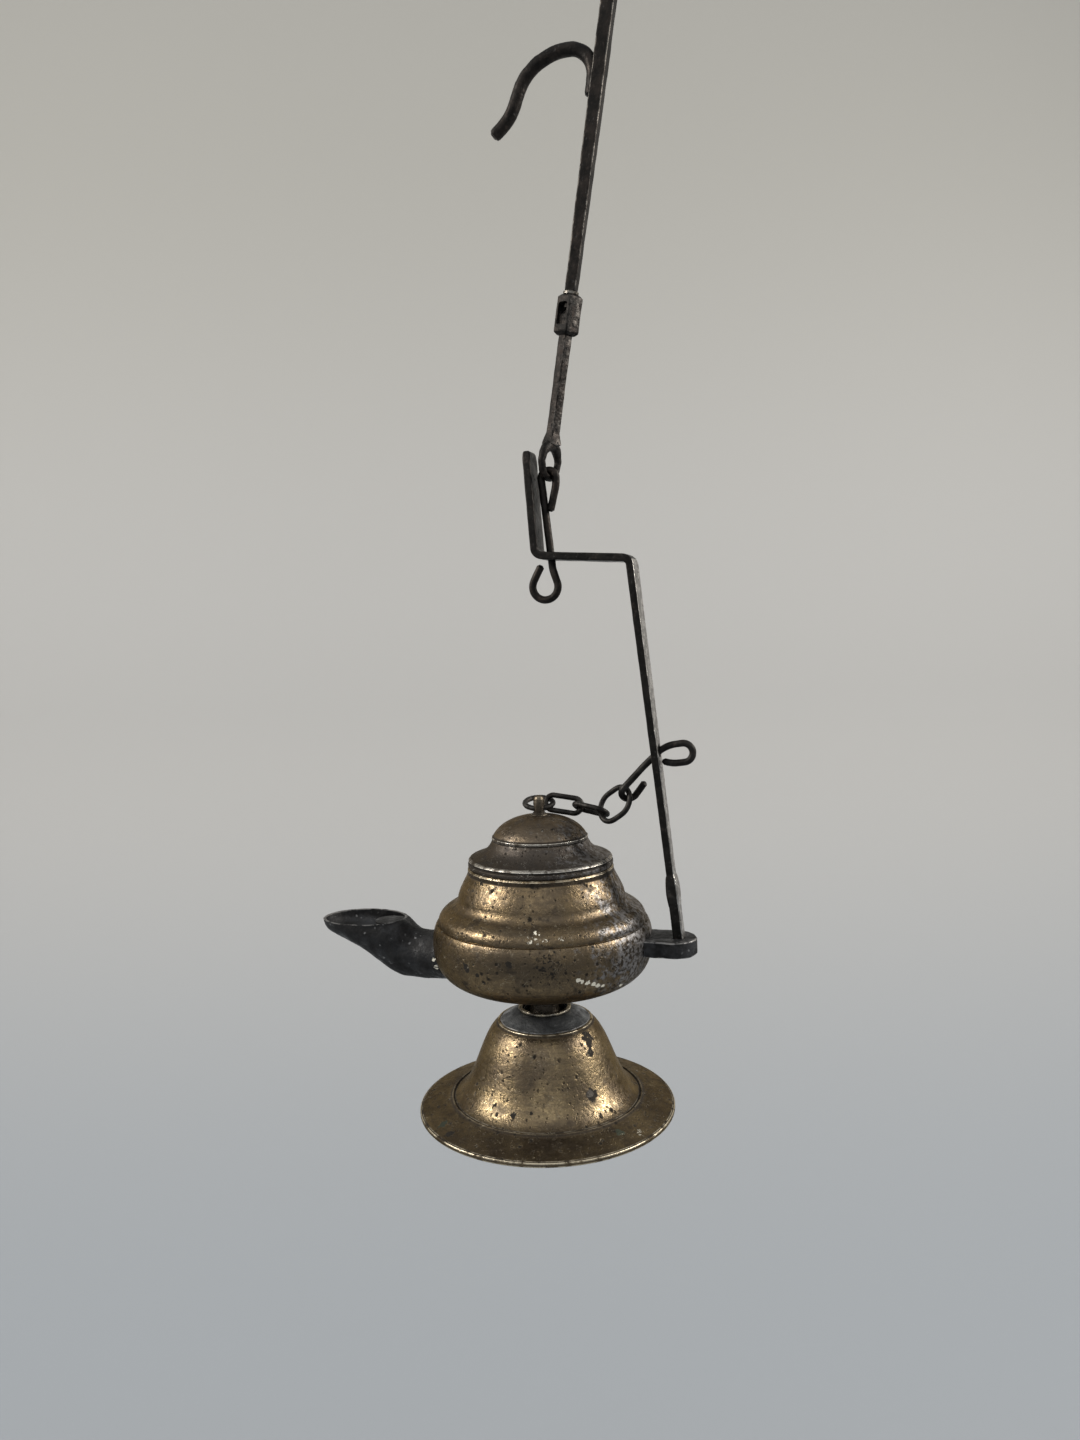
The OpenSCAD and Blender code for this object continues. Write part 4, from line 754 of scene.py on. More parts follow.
def makeLid():
    low, shoulderH, base, top, rim, dome = (lid[k] for k in ("bottom", "shoulder", "domeBase", "top", "rim", "dome"))
    rimLine = np.array([[rim - 0.2, low], [rim, low + 0.3], [rim, low + 0.85], [rim - 0.22, low + 1.02],
                        [rim - 0.3, low + 1.12], [rim - 0.15, low + 1.28], [rim - 0.12, low + 1.5],
                        [rim - 0.28, shoulderH]])
    flare = cubic((rim - 0.5, shoulderH + 0.15), (rim - 3.55, shoulderH + 1.05), (dome + 0.83, base - 1.85),
                  (dome, base - 0.1), 40)
    bead = np.array([[dome + 0.13, base + 0.06], [dome + 0.15, base + 0.4], [dome - 0.05, base + 0.54]])
    crown = cubic((dome - 0.1, base + 0.6), (dome - 1.84, top - 0.68), (2.9, top - 0.02), (2.0, top), 48)
    inner = offsetLine(joined(flare, crown), lid["sheet"])[::-1]
    bore = rim - 0.3 - lid["sheet"]
    outline = joined(rimLine, flare, bead, crown, [[1.0, top], [1.0, top - lid["sheet"]]], inner,
                     [[bore, shoulderH - lid["sheet"]], [bore, low]])
    outline = softCorners(outline, 0.06, 2)
    shine = np.interp(outline[:, 1], [low + 1.3, low + 1.5, base - 0.2, base], [0.12, 1, 1, 0.7])[:, None]
    makePiece("lidShell", lathe(outline, 192, ((0.0012, 3, 0.3),)), lidBrass, "lid", ["lid_shell"], wrapRows=True,
              rubbing=shine)
    r, high = lid["knob"], top + lid["knobHeight"]
    outline = joined([[0, top - 1.4], [1.27, top - 1.4], [1.57, top - 1.0], [1.57, top - 0.7], [0.97, top - 0.7],
                      [0.97, top], [r + 0.35, top], [r + 0.08, top + 0.35]],
                     cubic((r, top + 0.6), (r - 0.02, top + 1.6), (r - 0.1, high - 1.4), (r - 0.2, high - 0.75), 12),
                     cubic((r - 0.25, high - 0.6), (r - 0.4, high - 0.15), (0.5, high), (0, high), 10))
    knob = makePiece("lidKnob", lathe(softCorners(outline, 0.06, 2), 64), knobBrass, "lid", ["lid_knob"], wrapRows=True)
    turn = math.radians(lid["knobTurn"])
    way = np.array([math.cos(turn), math.sin(turn), 0]) * 3
    eye = np.array([0, 0, top + lid["holeHeight"]])
    return cutAway(knob, [rodGrid(eye - way, eye + way, lid["hole"])])


makeFont()
makeLid()
for name in ("filler_collar", "lid_collar", "stem_washer"):
    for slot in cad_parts[name].material_slots:
        slot.material = plainBrass
print("font and lid built")


# Spout

spout = {"fontRadius": 22.0, "fontBottom": 24.8, "wall": 0.6, "rim": 0.12,
         "stations": [[-8.0, 2.0, -8.0, 8.0, 5.0], [-2.0, 0.7, -1.5, 10.6, 5.4], [2.0, 0.4, 2.5, 10.4, 5.0],
                      [6.0, 0.4, 5.2, 10.6, 4.9], [9.0, 0.7, 6.6, 11.4, 5.1], [11.5, 1.8, 7.4, 12.1, 5.5],
                      [14.4, 3.9, 7.9, 12.4, 6.0], [18.2, 6.4, 8.1, 12.5, 6.4], [22.5, 8.5, 8.2, 12.55, 6.6],
                      [26.3, 10.3, 8.3, 12.6, 6.65], [27.4, 12.4, 8.4, 12.65, 6.6]]}


def spoutPoints(share, columns, drawnIn):
    # a station is a smooth curve through its neighbours; its ring is middle + tall * sin a + wide * cos a
    stations = np.array(spout["stations"])
    last = len(stations) - 1
    i = np.clip(np.floor(share).astype(int), 0, last - 1)
    t = (share - i)[..., None]
    a, b, c, d = (stations[np.clip(i + k, 0, last)] for k in (-1, 0, 1, 2))
    s = 0.5 * (2 * b + (c - a) * t + (2 * a - 5 * b + 4 * c - d) * t * t + (3 * b - a - 3 * c + d) * t ** 3)
    low = np.stack([-spout["fontRadius"] - s[..., 0], spout["fontBottom"] + s[..., 1]], -1)
    high = np.stack([-spout["fontRadius"] - s[..., 2], spout["fontBottom"] + s[..., 3]], -1)
    middle, half = (low + high) / 2, (high - low) / 2
    tall = np.linalg.norm(half, axis=-1, keepdims=True)
    way = half / tall
    angle = columns[None, :, None]
    flat = middle + way * (tall - drawnIn) * np.sin(angle)
    return np.stack([flat[..., 0], (s[..., 4] - drawnIn) * np.cos(angle[..., 0]), flat[..., 1]], -1)


def makeSpout():
    # the outer skin from root to mouth, a rolled rim, and the inner skin back to the root
    columns = np.linspace(0, 2 * np.pi, 96, endpoint=False)
    share = np.linspace(0, len(spout["stations"]) - 1, 110)[:, None] + 0 * columns
    outer = roughened(spoutPoints(share, columns, 0.0), 0.05, 4.0, 3)
    inner = spoutPoints(share, columns, spout["wall"])
    rim = outer[-1:] * 0.6 + inner[-1:] * 0.4 + [0, 0, spout["rim"]]
    grid = np.concatenate([outer, rim, inner[::-1]])
    return makePiece("wickSpout", grid, spoutLead, "lamp", ["spout"], wrapRows=True, edge=0.4)


makeSpout()
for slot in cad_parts["wick_rest"].material_slots:
    slot.material = spoutLead
print("spout built")


# Handle

# the handle's rubbed value sets the painted reflection on the leg's +x face; the swelling's shine value is a painted
# highlight
handle = {"start": (28.34, 33.9, 96.1), "leg": 77.6, "arm": 18.85, "upright": 20.2, "bend": 1.6, "legTurn": 79.9,
          "uprightTurn": -82.6, "thick": 1.5, "widths": [(0, 2.8), (10.0, 2.8), (10.1, 3.2), (15.35, 3.2), (15.7, 2.94),
                                                        (77.6, 5.2), (114.0, 5.2), (115.4, 4.2)],
          "thicks": [(0, 2.0), (10.0, 2.0), (10.2, 1.9), (15.2, 1.9), (15.6, 1.5), (115.6, 1.5)],
          "shankHole": 0.95, "toggleHole": 1.0, "shankHoleAt": 2.74, "toggleHoleAt": 39.4, "rubbed": 0.85,
          "swellingAt": 12.2, "swellingHalf": 2.9, "swelling": 0.36, "swellingHighlight": 0.2}


def makeHandle():
    cutLeg = handle["bend"] * math.tan(math.radians(handle["legTurn"]) / 2)
    cutUp = handle["bend"] * math.tan(math.radians(-handle["uprightTurn"]) / 2)
    line, _ = bentLine(handle["start"], [[handle["leg"] - cutLeg, handle["legTurn"], handle["bend"]],
                                         [handle["arm"] - cutLeg - cutUp, handle["uprightTurn"], handle["bend"]],
                                         [handle["upright"] - cutUp, 0, 0]], 0.3)
    path = inPlane(line)
    s = lengthAlong(path)
    wide = np.interp(s, *np.array(handle["widths"]).T) / 2
    thick = np.interp(s, *np.array(handle["thicks"]).T) / 2
    endRound = np.sqrt(np.clip(1 - (1 - np.minimum(1, (s[-1] - s + 0.08) / 0.6)) ** 2, 0, 1))
    thick = thick * (0.4 + 0.6 * endRound)
    grid = sweep(path, squareSection(wide, thick, np.minimum(0.28, 0.45 * thick)))
    swelling = np.clip(1 - ((s - handle["swellingAt"]) / handle["swellingHalf"]) ** 2, 0, 1)[:, None]
    middle = grid.mean(1, keepdims=True)
    away = grid - middle
    grid = grid + swelling[..., None] * handle["swelling"] * away / np.linalg.norm(away, axis=-1, keepdims=True)
    grid = roughened(grid, 0.018, 3.5, 21)
    # painted reflection: on the leg the face towards +x is painted bright as a window's reflection, over real edge
    # wear; the swelling gets a painted highlight
    outside = away[..., 0] / thick[:, None]
    onLeg = (s < handle["leg"])[:, None]
    rubbed = np.maximum(edgeTurns(grid, False, True, 0.25)[0] * np.where(onLeg, 0.7, 0.3),
                        handle["rubbed"] * (outside > 0.8) * onLeg)
    rubbed = np.maximum(rubbed, handle["swellingHighlight"] * swelling)
    strip = makePiece("handleStrip", grid, stripIron, "lamp", ["handle_strip"], capped=True, wear=rubbed)
    corner = ahead(handle["start"], handle["leg"])
    shank = ahead((corner[0], corner[1], 176), handle["arm"] - handle["shankHoleAt"])
    toggle = ahead(handle["start"], handle["toggleHoleAt"])
    holes = [rodGrid(*(inPlane(np.array([ahead((shank[0], shank[1], 96), d)[:2] for d in (-3, 3)]))),
                     handle["shankHole"]),
             rodGrid(*(inPlane(np.array([ahead((toggle[0], toggle[1], 224), d)[:2] for d in (-4, 4)]))),
                     handle["toggleHole"])]
    return cutAway(strip, holes)


lug = {"radius": 4.5, "thick": 3.2, "under": 33.8, "centre": 27.0, "root": 19.5, "slotWide": 2.92, "slotThick": 2.12,
       "pin": 1.2, "pinAt": 1.1}


def makeLug():
    # outline: a half circle about the centre and two straight sides back to the font, its edge rounded off
    angle = np.linspace(-np.pi / 2, np.pi / 2, 40)
    straight = np.linspace(0, 1, 16)[1:, None]
    arc = np.stack([lug["centre"] + lug["radius"] * np.cos(angle), lug["radius"] * np.sin(angle)], 1)
    back = np.array([lug["root"], lug["radius"]])
    outline = joined(arc, arc[-1] * (1 - straight) + back * straight,
                     np.stack([np.full(12, lug["root"]), np.linspace(lug["radius"], -lug["radius"], 14)[1:-1]], 1),
                     (back * [1, -1]) * (1 - straight[:-1]) + arc[0] * straight[:-1])
    step = unit(np.roll(outline, -1, 0) - np.roll(outline, 1, 0))
    out = np.stack([step[:, 1], -step[:, 0]], 1)
    t = np.linspace(0, np.pi / 2, 5)
    soft = 0.35
    inward = np.concatenate([[2.2], soft * (1 - np.sin(t)), soft * (1 - np.cos(t)), [2.2]])
    high = np.concatenate([[0], soft * (1 - np.cos(t)), lug["thick"] - soft * (1 - np.sin(t)), [lug["thick"]]])
    rows = outline[None] - inward[:, None, None] * out[None]
    grid = np.concatenate([rows, lug["under"] + high[:, None, None] + 0 * rows[..., :1]], -1)
    piece = makePiece("handleLug", roughened(grid, 0.03, 2.5, 31), lugLead, "lamp", ["handle_lug"], capped=True,
                      edge=0.4)
    start = handle["start"]
    slotPath = inPlane(np.array([ahead(start, d)[:2] for d in (-3, 8)]))
    slot = sweep(slotPath, squareSection([lug["slotWide"] / 2] * 2, [lug["slotThick"] / 2] * 2, 0.05, 2, 2))
    cutAway(piece, [slot])
    pin = ahead(start, lug["pinAt"])
    half = lug["radius"] - 0.3
    s = np.array([-1, -0.985, -0.95, -0.9, 0.9, 0.95, 0.985, 1]) * half
    path = np.stack([np.full(8, pin[0]), s, np.full(8, pin[1])], 1)
    radii = lug["pin"] / 2 * np.array([0.55, 0.8, 0.95, 1, 1, 0.95, 0.8, 0.55])
    return makePiece("lugPin", sweep(path, roundSection(radii, 24), (1, 0, 0)), dropIron, "lamp", ["lug_pin"],
                     capped=True)


makeHandle()
makeLug()
print("handle built")


# Hanging link, drop rod and swivel

hanging = {"wire": 1.5, "at": (4.02315, 112.184, 96.0), "up": [[15.1, -186, 1.5], [0.3, -15, 9], [4.0, 0, 1]],
           "down": [[1.9, 12, 6], [2.1, -226, 2.6], [3.4, 0, 1]]}


def makeWire(name, path, diameter, material, body, node, columns=20, rough=0.012, seed=1, startWear=0.5,
             endWear=0.5, reference=(0.05, 1.0, 0.02)):
    radii = wornEnds(path, diameter / 2, startWear, endWear)
    grid = roughened(sweep(path, roundSection(radii, columns), reference), rough, 2.2, seed)
    wear = 0.25 * np.abs(np.sin(lengthAlong(path) * 0.7))[:, None] + np.zeros(columns)
    return makePiece(name, grid, material, body, [node], capped=True, wear=wear)


def makeHanging():
    at = hanging["at"]
    upLine, _ = bentLine(at, hanging["up"])
    downLine, _ = bentLine((at[0], at[1], at[2] + 180), hanging["down"])
    line = np.concatenate([downLine[::-1], upLine[1:]])
    return makeWire("hangingLink", inPlane(line), hanging["wire"], hangerIron, "link", "hanging_link", seed=41)


# the drop's rubbed value sets the painted sheen on the +x face of the rod and the swivel block
drop = {"base": (4.69214, 133.512, 80.45), "eyeAt": (3.93655, 127.358), "eyeRadius": 3.1, "eyeBar": 1.4,
        "eyeLean": 7.0, "eyeTurn": 13.0, "turn": -28.0, "side": 2.0, "length": 20.8, "seat": 3.0, "block": 3.6,
        "blockLength": 7.5, "window": 2.4, "windowLow": 1.7, "windowHigh": 5.9, "bore": 0.83, "eyeShoulder": 0.55, "rubbed": 0.5}


def barFrame(pose, turn):
    # the bar's heading and two cross directions, turned about the heading
    h, a = math.radians(pose[2]), math.radians(turn)
    heading = np.array([math.cos(h), 0, math.sin(h)])
    right = np.array([math.sin(h), 0, -math.cos(h)])
    back = np.array([0, 1, 0])
    return heading, math.cos(a) * right + math.sin(a) * back, -math.sin(a) * right + math.cos(a) * back


def squareBar(pose, turn, sides, corner, spacing=0.5):
    # a square bar whose side follows a list of (height, side) along its heading
    heights, widths = np.array(sides, float).T
    s = np.unique(np.concatenate([np.arange(heights[0], heights[-1], spacing), heights]))
    half = np.interp(s, heights, widths) / 2
    heading, x, y = barFrame(pose, turn)
    start = np.array([pose[0], 0, pose[1]])
    section = squareSection(half, half, np.minimum(corner, 0.6 * half))
    return start + s[:, None, None] * heading + section[..., :1] * x + section[..., 1:] * y


def makeDrop():
    base = drop["base"]
    lean = math.radians(up - drop["eyeLean"])
    centre = np.array([drop["eyeAt"][0], 0, drop["eyeAt"][1]]) + drop["eyeRadius"] * np.array(
        [math.cos(lean), 0, math.sin(lean)])
    turn = math.radians(drop["eyeTurn"])
    axis = np.array([math.sin(lean) * math.cos(turn), -math.sin(turn), -math.cos(lean) * math.cos(turn)])
    bar = squareBar(base, drop["turn"], [(0, 2.4), (0.25, 2.9), (drop["seat"] * 0.5, 2.45), (2.4, 2.05),
                                         (4, drop["side"]), (drop["length"], drop["side"])], 0.3, 0.4)
    bar = roughened(bar, 0.05, 3.0, 51)
    rod = makePiece("dropRod", bar, dropIron, "drop", ["drop_rod"], capped=True, wear=wearAndRightSheen(bar))
    ring = torus(centre, axis, drop["eyeRadius"], drop["eyeBar"] / 2)
    middle = ring.mean(1, keepdims=True)
    high = np.clip((middle - centre) @ -np.cross(axis, np.cross(axis, [0, 0, 1])) / drop["eyeRadius"], 0, 1)[..., None]
    ring = middle + (ring - middle) * (1 + drop["eyeShoulder"] * high ** 1.5)
    eye = makePiece("dropEye", roughened(ring, 0.04, 2.0, 52), dropIron, "drop", ["drop_rod"], wrapRows=True,
                    wear=0.25)
    return rod, eye


def wearAndRightSheen(grid):
    # worn edges, plus a painted sheen on the face towards +x, standing in for light on that side: 1 where a point lies
    # on the far side of its row's middle
    away = grid - grid.mean(1, keepdims=True)
    share = away[..., 0] / np.abs(away[..., 0]).max(1, keepdims=True)
    return np.maximum(0.6 * edgeTurns(grid, False, True, 0.25)[0], drop["rubbed"] * np.clip(share * 4 - 2, 0, 1))


def torus(centre, axis, radius, thick, rows=72, columns=20):
    # centre + (radius + thick cos b)(e cos a + f sin a) + thick sin b * axis
    axis = unit(axis)
    e = unit(np.cross(axis, [0.3, 0.2, 0.9]))
    f = np.cross(axis, e)
    a = np.linspace(0, 2 * np.pi, rows, endpoint=False)[:, None, None]
    b = np.linspace(0, 2 * np.pi, columns, endpoint=False)[None, :, None]
    return centre + (radius + thick * np.cos(b)) * (e * np.cos(a) + f * np.sin(a)) + thick * np.sin(b) * axis


def makeSwivel():
    low = ahead(drop["base"], drop["length"])
    w, l = drop["block"], drop["blockLength"]
    grid = squareBar(low, drop["turn"], [(0, w - 1.0), (0.12, w - 0.72), (0.5, w - 0.04), (0.8, w), (l - 0.8, w),
                                         (l - 0.5, w - 0.04), (l - 0.12, w - 0.72), (l, w - 1.0)], 0.4, 0.4)
    grid = roughened(grid, 0.03, 2.6, 61)
    block = makePiece("swivelBlock", grid, dropIron, "drop", ["swivel_block"], capped=True, wear=wearAndRightSheen(grid))
    heading, x, y = barFrame(low, drop["turn"])
    start = np.array([low[0], 0, low[1]]) + heading * (drop["windowLow"] + drop["windowHigh"]) / 2
    path = start + np.array([-4.0, 4.0])[:, None] * y
    section = squareSection([drop["window"] / 2] * 2, [(drop["windowHigh"] - drop["windowLow"]) / 2] * 2, 0.5, 5, 2)
    window = path[:, None] + section[..., :1] * x + section[..., 1:] * heading
    bore = rodGrid(np.array([low[0], 0, low[1]]) + heading * (drop["windowHigh"] - 1),
                   np.array([low[0], 0, low[1]]) + heading * (l + 2), drop["bore"])
    cutAway(block, [window, bore])
    return block


spike = {"base": 28.8, "lowSide": 2.15, "side": 2.6, "hookAt": 64.0, "point": 16.0, "length": 102.9, "tip": 0.5,
         "neck": 0.75, "neckFrom": 25.86}
hook = {"wire": 2.5, "aside": 1.1, "heading": 81.0,
        "moves": [[3.0, 12, 8], [0, 85, 4.9], [0, 42, 11], [0, 28, 8], [2.6, -34, 10], [1.2, 0, 1]]}


def makeSpike():
    low = ahead(drop["base"], spike["base"])
    taper = spike["hookAt"] - spike["base"]
    bar = squareBar(low, 0, [(0, spike["lowSide"] - 0.3), (0.2, spike["lowSide"]), (taper, spike["side"]),
                             (spike["length"] - spike["point"], spike["side"]), (spike["length"], spike["tip"])], 0.3)
    makePiece("spikeRod", roughened(bar, 0.03, 5.0, 71), hangerIron, "hanger", ["spike_rod"], capped=True)
    neck = np.array([inPlane(np.array([ahead(drop["base"], s)[:2]]))[0] for s in (spike["neckFrom"], spike["base"] + 0.3)])
    makePiece("spikeNeck", sweep(neck, roundSection([spike["neck"]] * 2, 24)), dropIron, "hanger", ["spike_rod"],
              capped=True)
    root = aside(ahead(drop["base"], spike["hookAt"]), hook["aside"])
    line, _ = bentLine((root[0], root[1], hook["heading"]), hook["moves"])
    return makeWire("hookArm", inPlane(line), hook["wire"], hangerIron, "hanger", "hook_arm", 28, 0.03, 81, 0.6, 0.7)


makeHanging()
makeDrop()
makeSwivel()
makeSpike()
for name, finish in (("rivet_head", dropIron), ("swivel_washer", paleBrass)):
    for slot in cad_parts[name].material_slots:
        slot.material = finish
print("hanger built")


# Chain

chain = {"wire": 1.1, "ring": 2.85, "ringTilt": 14.0, "knobTurn": 17.0, "knobEye": (0, 0, 61.85),
         "joint12": (5.2, 0.31, -0.74), "joint23": (5.56, -1.38, -0.43), "width": 3.1, "bigWidth": 6.2,
         "rolls": (17.6, -57.4, 30.2), "slackJoint": 0.12, "slack2": 0.2, "slack3": 0.28, "slackRing": 0.35,
         "slackToggle": 0.18}
toggle = {"wire": 1.35, "at": (24.1532, 73.0769, 224.0), "shank": [[3.4, 3, 8], [4.0, 0, 1]],
          "hook": [[1.6, 188, 1.65], [3.2, 0, 1]], "roll": 39.3,
          "loop": [[0.3, -36, 6.6], [1.2, -180, 1.85], [1.0, -24, 7], [0.5, 0, 1]]}


def makeToggle():
    at = toggle["at"]
    loop, _ = bentLine((at[0], at[1], at[2] - 180), toggle["loop"])
    shank, end = bentLine(at, toggle["shank"])
    curl, _ = bentLine((0, 0, 0), toggle["hook"])
    h, roll = math.radians(end[2]), math.radians(toggle["roll"])
    forward = np.array([math.cos(h), 0, math.sin(h)])
    left = np.array([-math.sin(h), 0, math.cos(h)])
    side = math.cos(roll) * left + math.sin(roll) * np.array([0, 1, 0])
    base = np.array([end[0], 0, end[1]])
    path = np.concatenate([inPlane(loop[::-1]), inPlane(shank[1:]), base + curl[1:, :1] * forward + curl[1:, 1:] * side])
    makeWire("chainToggle", path, toggle["wire"], chainIron, "toggle", "chain_toggle", seed=91,
             reference=(0.3, 1.0, 0.45))
    first = toggle["hook"][0]
    return base + (first[0] + first[2]) * forward + first[2] * side


def makeLink(name, a, b, overA, overB, width, roll, body, node, seed):
    # stadium: two half circles joined by straights, in the plane of the link's line and its rolled side
    v = b - a
    length = np.linalg.norm(v)
    e1 = v / length
    e2 = unit(np.array([-e1[1], e1[0], 0]))
    e3 = np.cross(e1, e2)
    r = math.radians(roll)
    side = math.sin(r) * e2 + math.cos(r) * e3
    normal = np.cross(e1, side)
    radius = width / 2
    straight = length + overA + overB - width
    start = a + e1 * (radius - overA)
    half = np.linspace(0, np.pi, 24)
    t = np.linspace(0, 1, 8)[1:-1]
    x = np.concatenate([straight + radius * np.sin(half), straight * (1 - t), -radius * np.sin(half), straight * t])
    y = np.concatenate([radius * np.cos(half), np.full(6, -radius), -radius * np.cos(half), np.full(6, radius)])
    path = start + x[:, None] * e1 + y[:, None] * side
    tangent = unit(np.roll(path, -1, 0) - np.roll(path, 1, 0))
    across = np.cross(normal, tangent)
    angle = np.linspace(0, 2 * np.pi, 20, endpoint=False)[None, :, None]
    grid = path[:, None] + chain["wire"] / 2 * (np.cos(angle) * across[:, None] + np.sin(angle) * normal)
    return makePiece(name, roughened(grid, 0.01, 2.0, seed), chainIron, body, [node], wrapRows=True, wear=0.3)


def makeChain():
    hookPull = makeToggle()
    turn, tilt = math.radians(chain["knobTurn"]), math.radians(chain["ringTilt"])
    sideways = np.array([math.cos(turn), math.sin(turn), 0])
    out = np.array([-math.sin(turn) * math.cos(tilt), math.cos(turn) * math.cos(tilt), math.sin(tilt)])
    eye = np.array(chain["knobEye"], float)
    ring = torus(eye + chain["ring"] * out, np.cross(sideways, out), chain["ring"], chain["wire"] / 2)
    makePiece("knobRing", roughened(ring, 0.01, 2.0, 95), chainIron, "ring", ["knob_ring"], wrapRows=True, wear=0.3)
    ringPull = eye + chain["ring"] * (out + sideways)
    joint12 = ringPull + np.array(chain["joint12"])
    joint23 = joint12 + np.array(chain["joint23"])
    way1, way2, way3 = unit(joint12 - ringPull), unit(joint23 - joint12), unit(hookPull - joint23)
    wire, gap = chain["wire"], (chain["wire"] + chain["slackJoint"]) / 2
    makeLink("chainLink1", ringPull, joint12 - way2 * gap, wire + chain["slackRing"], wire + chain["slack2"],
             chain["width"], chain["rolls"][0], "chain_a", "chain_link_1", 96)
    makeLink("chainLink2", joint12 + way1 * gap, joint23 - way3 * gap, wire + chain["slack2"], wire + chain["slack3"],
             chain["width"], chain["rolls"][1], "chain_b", "chain_link_2", 97)
    return makeLink("chainLink3", joint23 + way2 * gap, hookPull, wire + chain["slack3"],
                    (wire + toggle["wire"]) / 2 + chain["slackToggle"], chain["bigWidth"], chain["rolls"][2],
                    "chain_c", "chain_link_3", 98)


makeChain()
print("chain built")


# Camera, backdrop and lights

camera = {"place": (0.052315, -0.19855, -0.10729), "pitch": 4.88, "roll": -1.67, "yaw": 17.0, "lens": 26.0,
          "film": 36.0}


def makeCamera():
    data = bpy.data.cameras.new("camera")
    data.sensor_fit, data.sensor_height, data.lens = "VERTICAL", camera["film"], camera["lens"]
    data.clip_start, data.clip_end = 0.01, 50
    p, t, y = (math.radians(camera[k]) for k in ("pitch", "roll", "yaw"))

    def inFrame(dx, dy, dz):
        x, z = math.cos(t) * dx - math.sin(t) * dz, math.sin(t) * dx + math.cos(t) * dz
        return (x * math.cos(y) - dy * math.sin(y), x * math.sin(y) + dy * math.cos(y), z)

    right, forward, top = inFrame(1, 0, 0), inFrame(0, math.cos(p), -math.sin(p)), inFrame(0, math.sin(p), math.cos(p))
    columns = [right, top, tuple(-c for c in forward), camera["place"]]
    matrix = Matrix.Identity(4)
    for k, column in enumerate(columns):
        for row in range(3):
            matrix[row][k] = column[row]
    eye = bpy.data.objects.new("camera", data)
    bpy.context.scene.collection.objects.link(eye)
    eye.matrix_world = matrix
    bpy.context.scene.camera = eye
    return np.array(right), np.array(forward)


backdrop = {"floor": -0.62, "wall": 0.75, "sweep": 0.45, "front": -6.0, "side": 6.0, "height": 1.9,
            "low": (0.357, 0.383, 0.412), "middle": (0.53, 0.522, 0.505), "high": (0.458, 0.448, 0.415)}


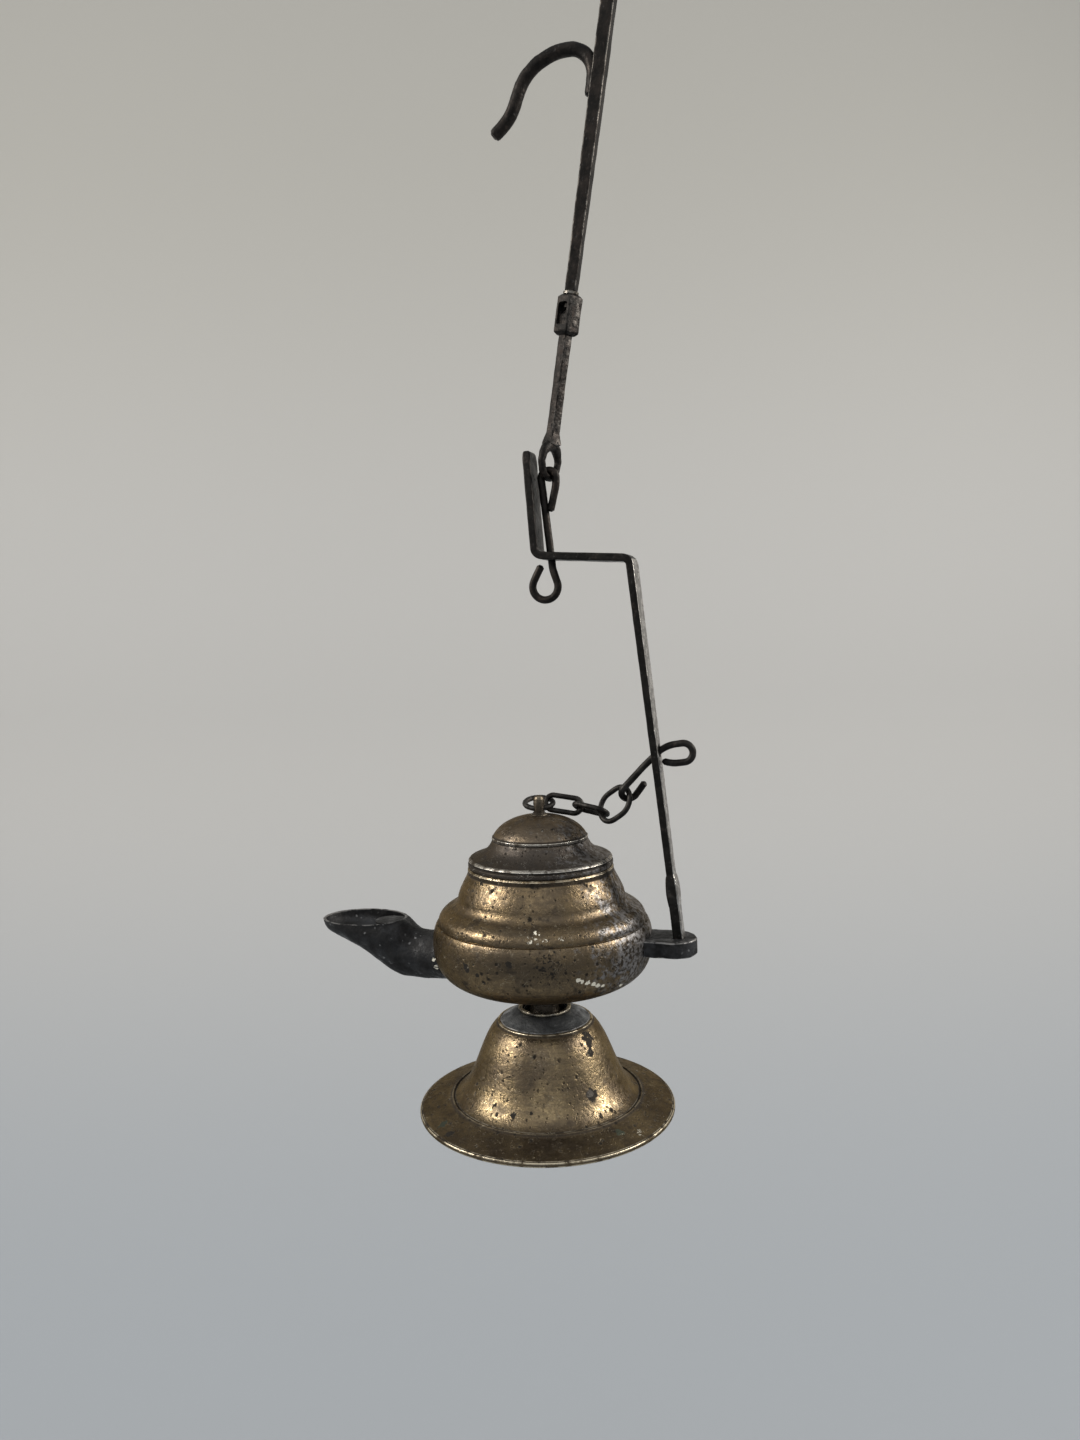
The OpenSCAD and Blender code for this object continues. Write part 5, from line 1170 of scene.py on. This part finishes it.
def makeBackdrop(right, forward):
    # floor, quarter circle and wall, square to the camera's line of sight
    angle = np.linspace(0, np.pi / 2, 24)
    reach = np.concatenate([[backdrop["front"]], backdrop["wall"] - backdrop["sweep"] * (1 - np.sin(angle)),
                            [backdrop["wall"]]])
    rise = np.concatenate([[0], backdrop["sweep"] * (1 - np.cos(angle)), [backdrop["height"]]]) + backdrop["floor"]
    ahead2 = unit(np.array([forward[0], forward[1], 0]))
    side = np.array([ahead2[1], -ahead2[0], 0])
    across = np.linspace(-backdrop["side"], backdrop["side"], 3)
    points = (reach[:, None, None] * ahead2 + across[None, :, None] * side
              + rise[:, None, None] * np.array([0, 0, 1])).reshape(-1, 3)
    rows = len(reach)
    index = np.arange(rows * 3).reshape(rows, 3)
    quads = np.stack([index[:-1, :-1], index[:-1, 1:], index[1:, 1:], index[1:, :-1]], -1).reshape(-1, 4)
    mesh = bpy.data.meshes.new("backdrop")
    mesh.from_pydata(points.tolist(), [], quads.tolist())
    mesh.polygons.foreach_set("use_smooth", np.ones(len(mesh.polygons), bool))
    material = bpy.data.materials.new("backdropPaint")
    material.use_nodes = True
    tree = material.node_tree
    tree.nodes.clear()
    place = add(tree, "ShaderNodeSeparateXYZ", {0: add(tree, "ShaderNodeTexCoord").outputs["Object"]})
    # painted light and shade: the paint is lightest about the lamp's height, darker and bluer towards the floor and a
    # little darker and warmer above
    lower = smoothRange(tree, place.outputs[2], backdrop["floor"], -0.2)
    upper = smoothRange(tree, place.outputs[2], -0.1, 0.35)
    colour = tint(tree, upper, tint(tree, lower, backdrop["low"], backdrop["middle"]), backdrop["high"])
    shader = add(tree, "ShaderNodeBsdfPrincipled", {"Base Color": colour, "Roughness": 0.9})
    add(tree, "ShaderNodeOutputMaterial", {"Surface": shader.outputs[0]})
    mesh.materials.append(material)
    stage = bpy.data.objects.new("backdrop", mesh)
    bpy.context.scene.collection.objects.link(stage)


lights = {"leftWindow": {"side": -1.0, "back": -0.15, "height": 0.5, "size": (0.18, 0.32), "power": 9.5,
                         "colour": (1.0, 0.96, 0.9)},
          "rightWindow": {"side": 0.85, "back": -0.02, "height": 0.47, "size": (0.16, 0.32), "power": 8.0,
                          "colour": (1.0, 0.96, 0.9)},
          "roomGlow": {"side": -0.1, "back": -1.1, "height": 0.9, "size": (1.2, 1.2), "power": 3.0,
                       "colour": (0.95, 0.97, 1.0)}}
world = {"strength": 0.42, "colour": (0.94, 0.97, 1.0)}


def makeLights(right, forward):
    centre = np.array([0, 0, -0.14])
    for name, values in lights.items():
        data = bpy.data.lights.new(name, "AREA")
        data.shape, data.size, data.size_y = "RECTANGLE", *values["size"]
        data.energy, data.color = values["power"], values["colour"]
        lamp = bpy.data.objects.new(name, data)
        bpy.context.scene.collection.objects.link(lamp)
        place = centre + values["side"] * right + values["back"] * forward + np.array([0, 0, values["height"]])
        lamp.location = place
        away = Matrix(np.eye(3)).to_3x3()
        look = unit(place - centre)
        sideways = unit(np.cross([0, 0, 1], look))
        upward = np.cross(look, sideways)
        for row in range(3):
            away[row][0], away[row][1], away[row][2] = sideways[row], upward[row], look[row]
        lamp.rotation_euler = away.to_euler()
    sky = bpy.data.worlds.new("room")
    sky.use_nodes = True
    sky.node_tree.nodes.clear()
    shade = add(sky.node_tree, "ShaderNodeBackground", {"Color": (*world["colour"], 1), "Strength": world["strength"]})
    add(sky.node_tree, "ShaderNodeOutputWorld", {"Surface": shade.outputs[0]})
    bpy.context.scene.world = sky


rightWay, forwardWay = makeCamera()
makeBackdrop(rightWay, forwardWay)
makeLights(rightWay, forwardWay)
bpy.context.scene.view_settings.view_transform = "Standard"
print("camera, backdrop and lights set")
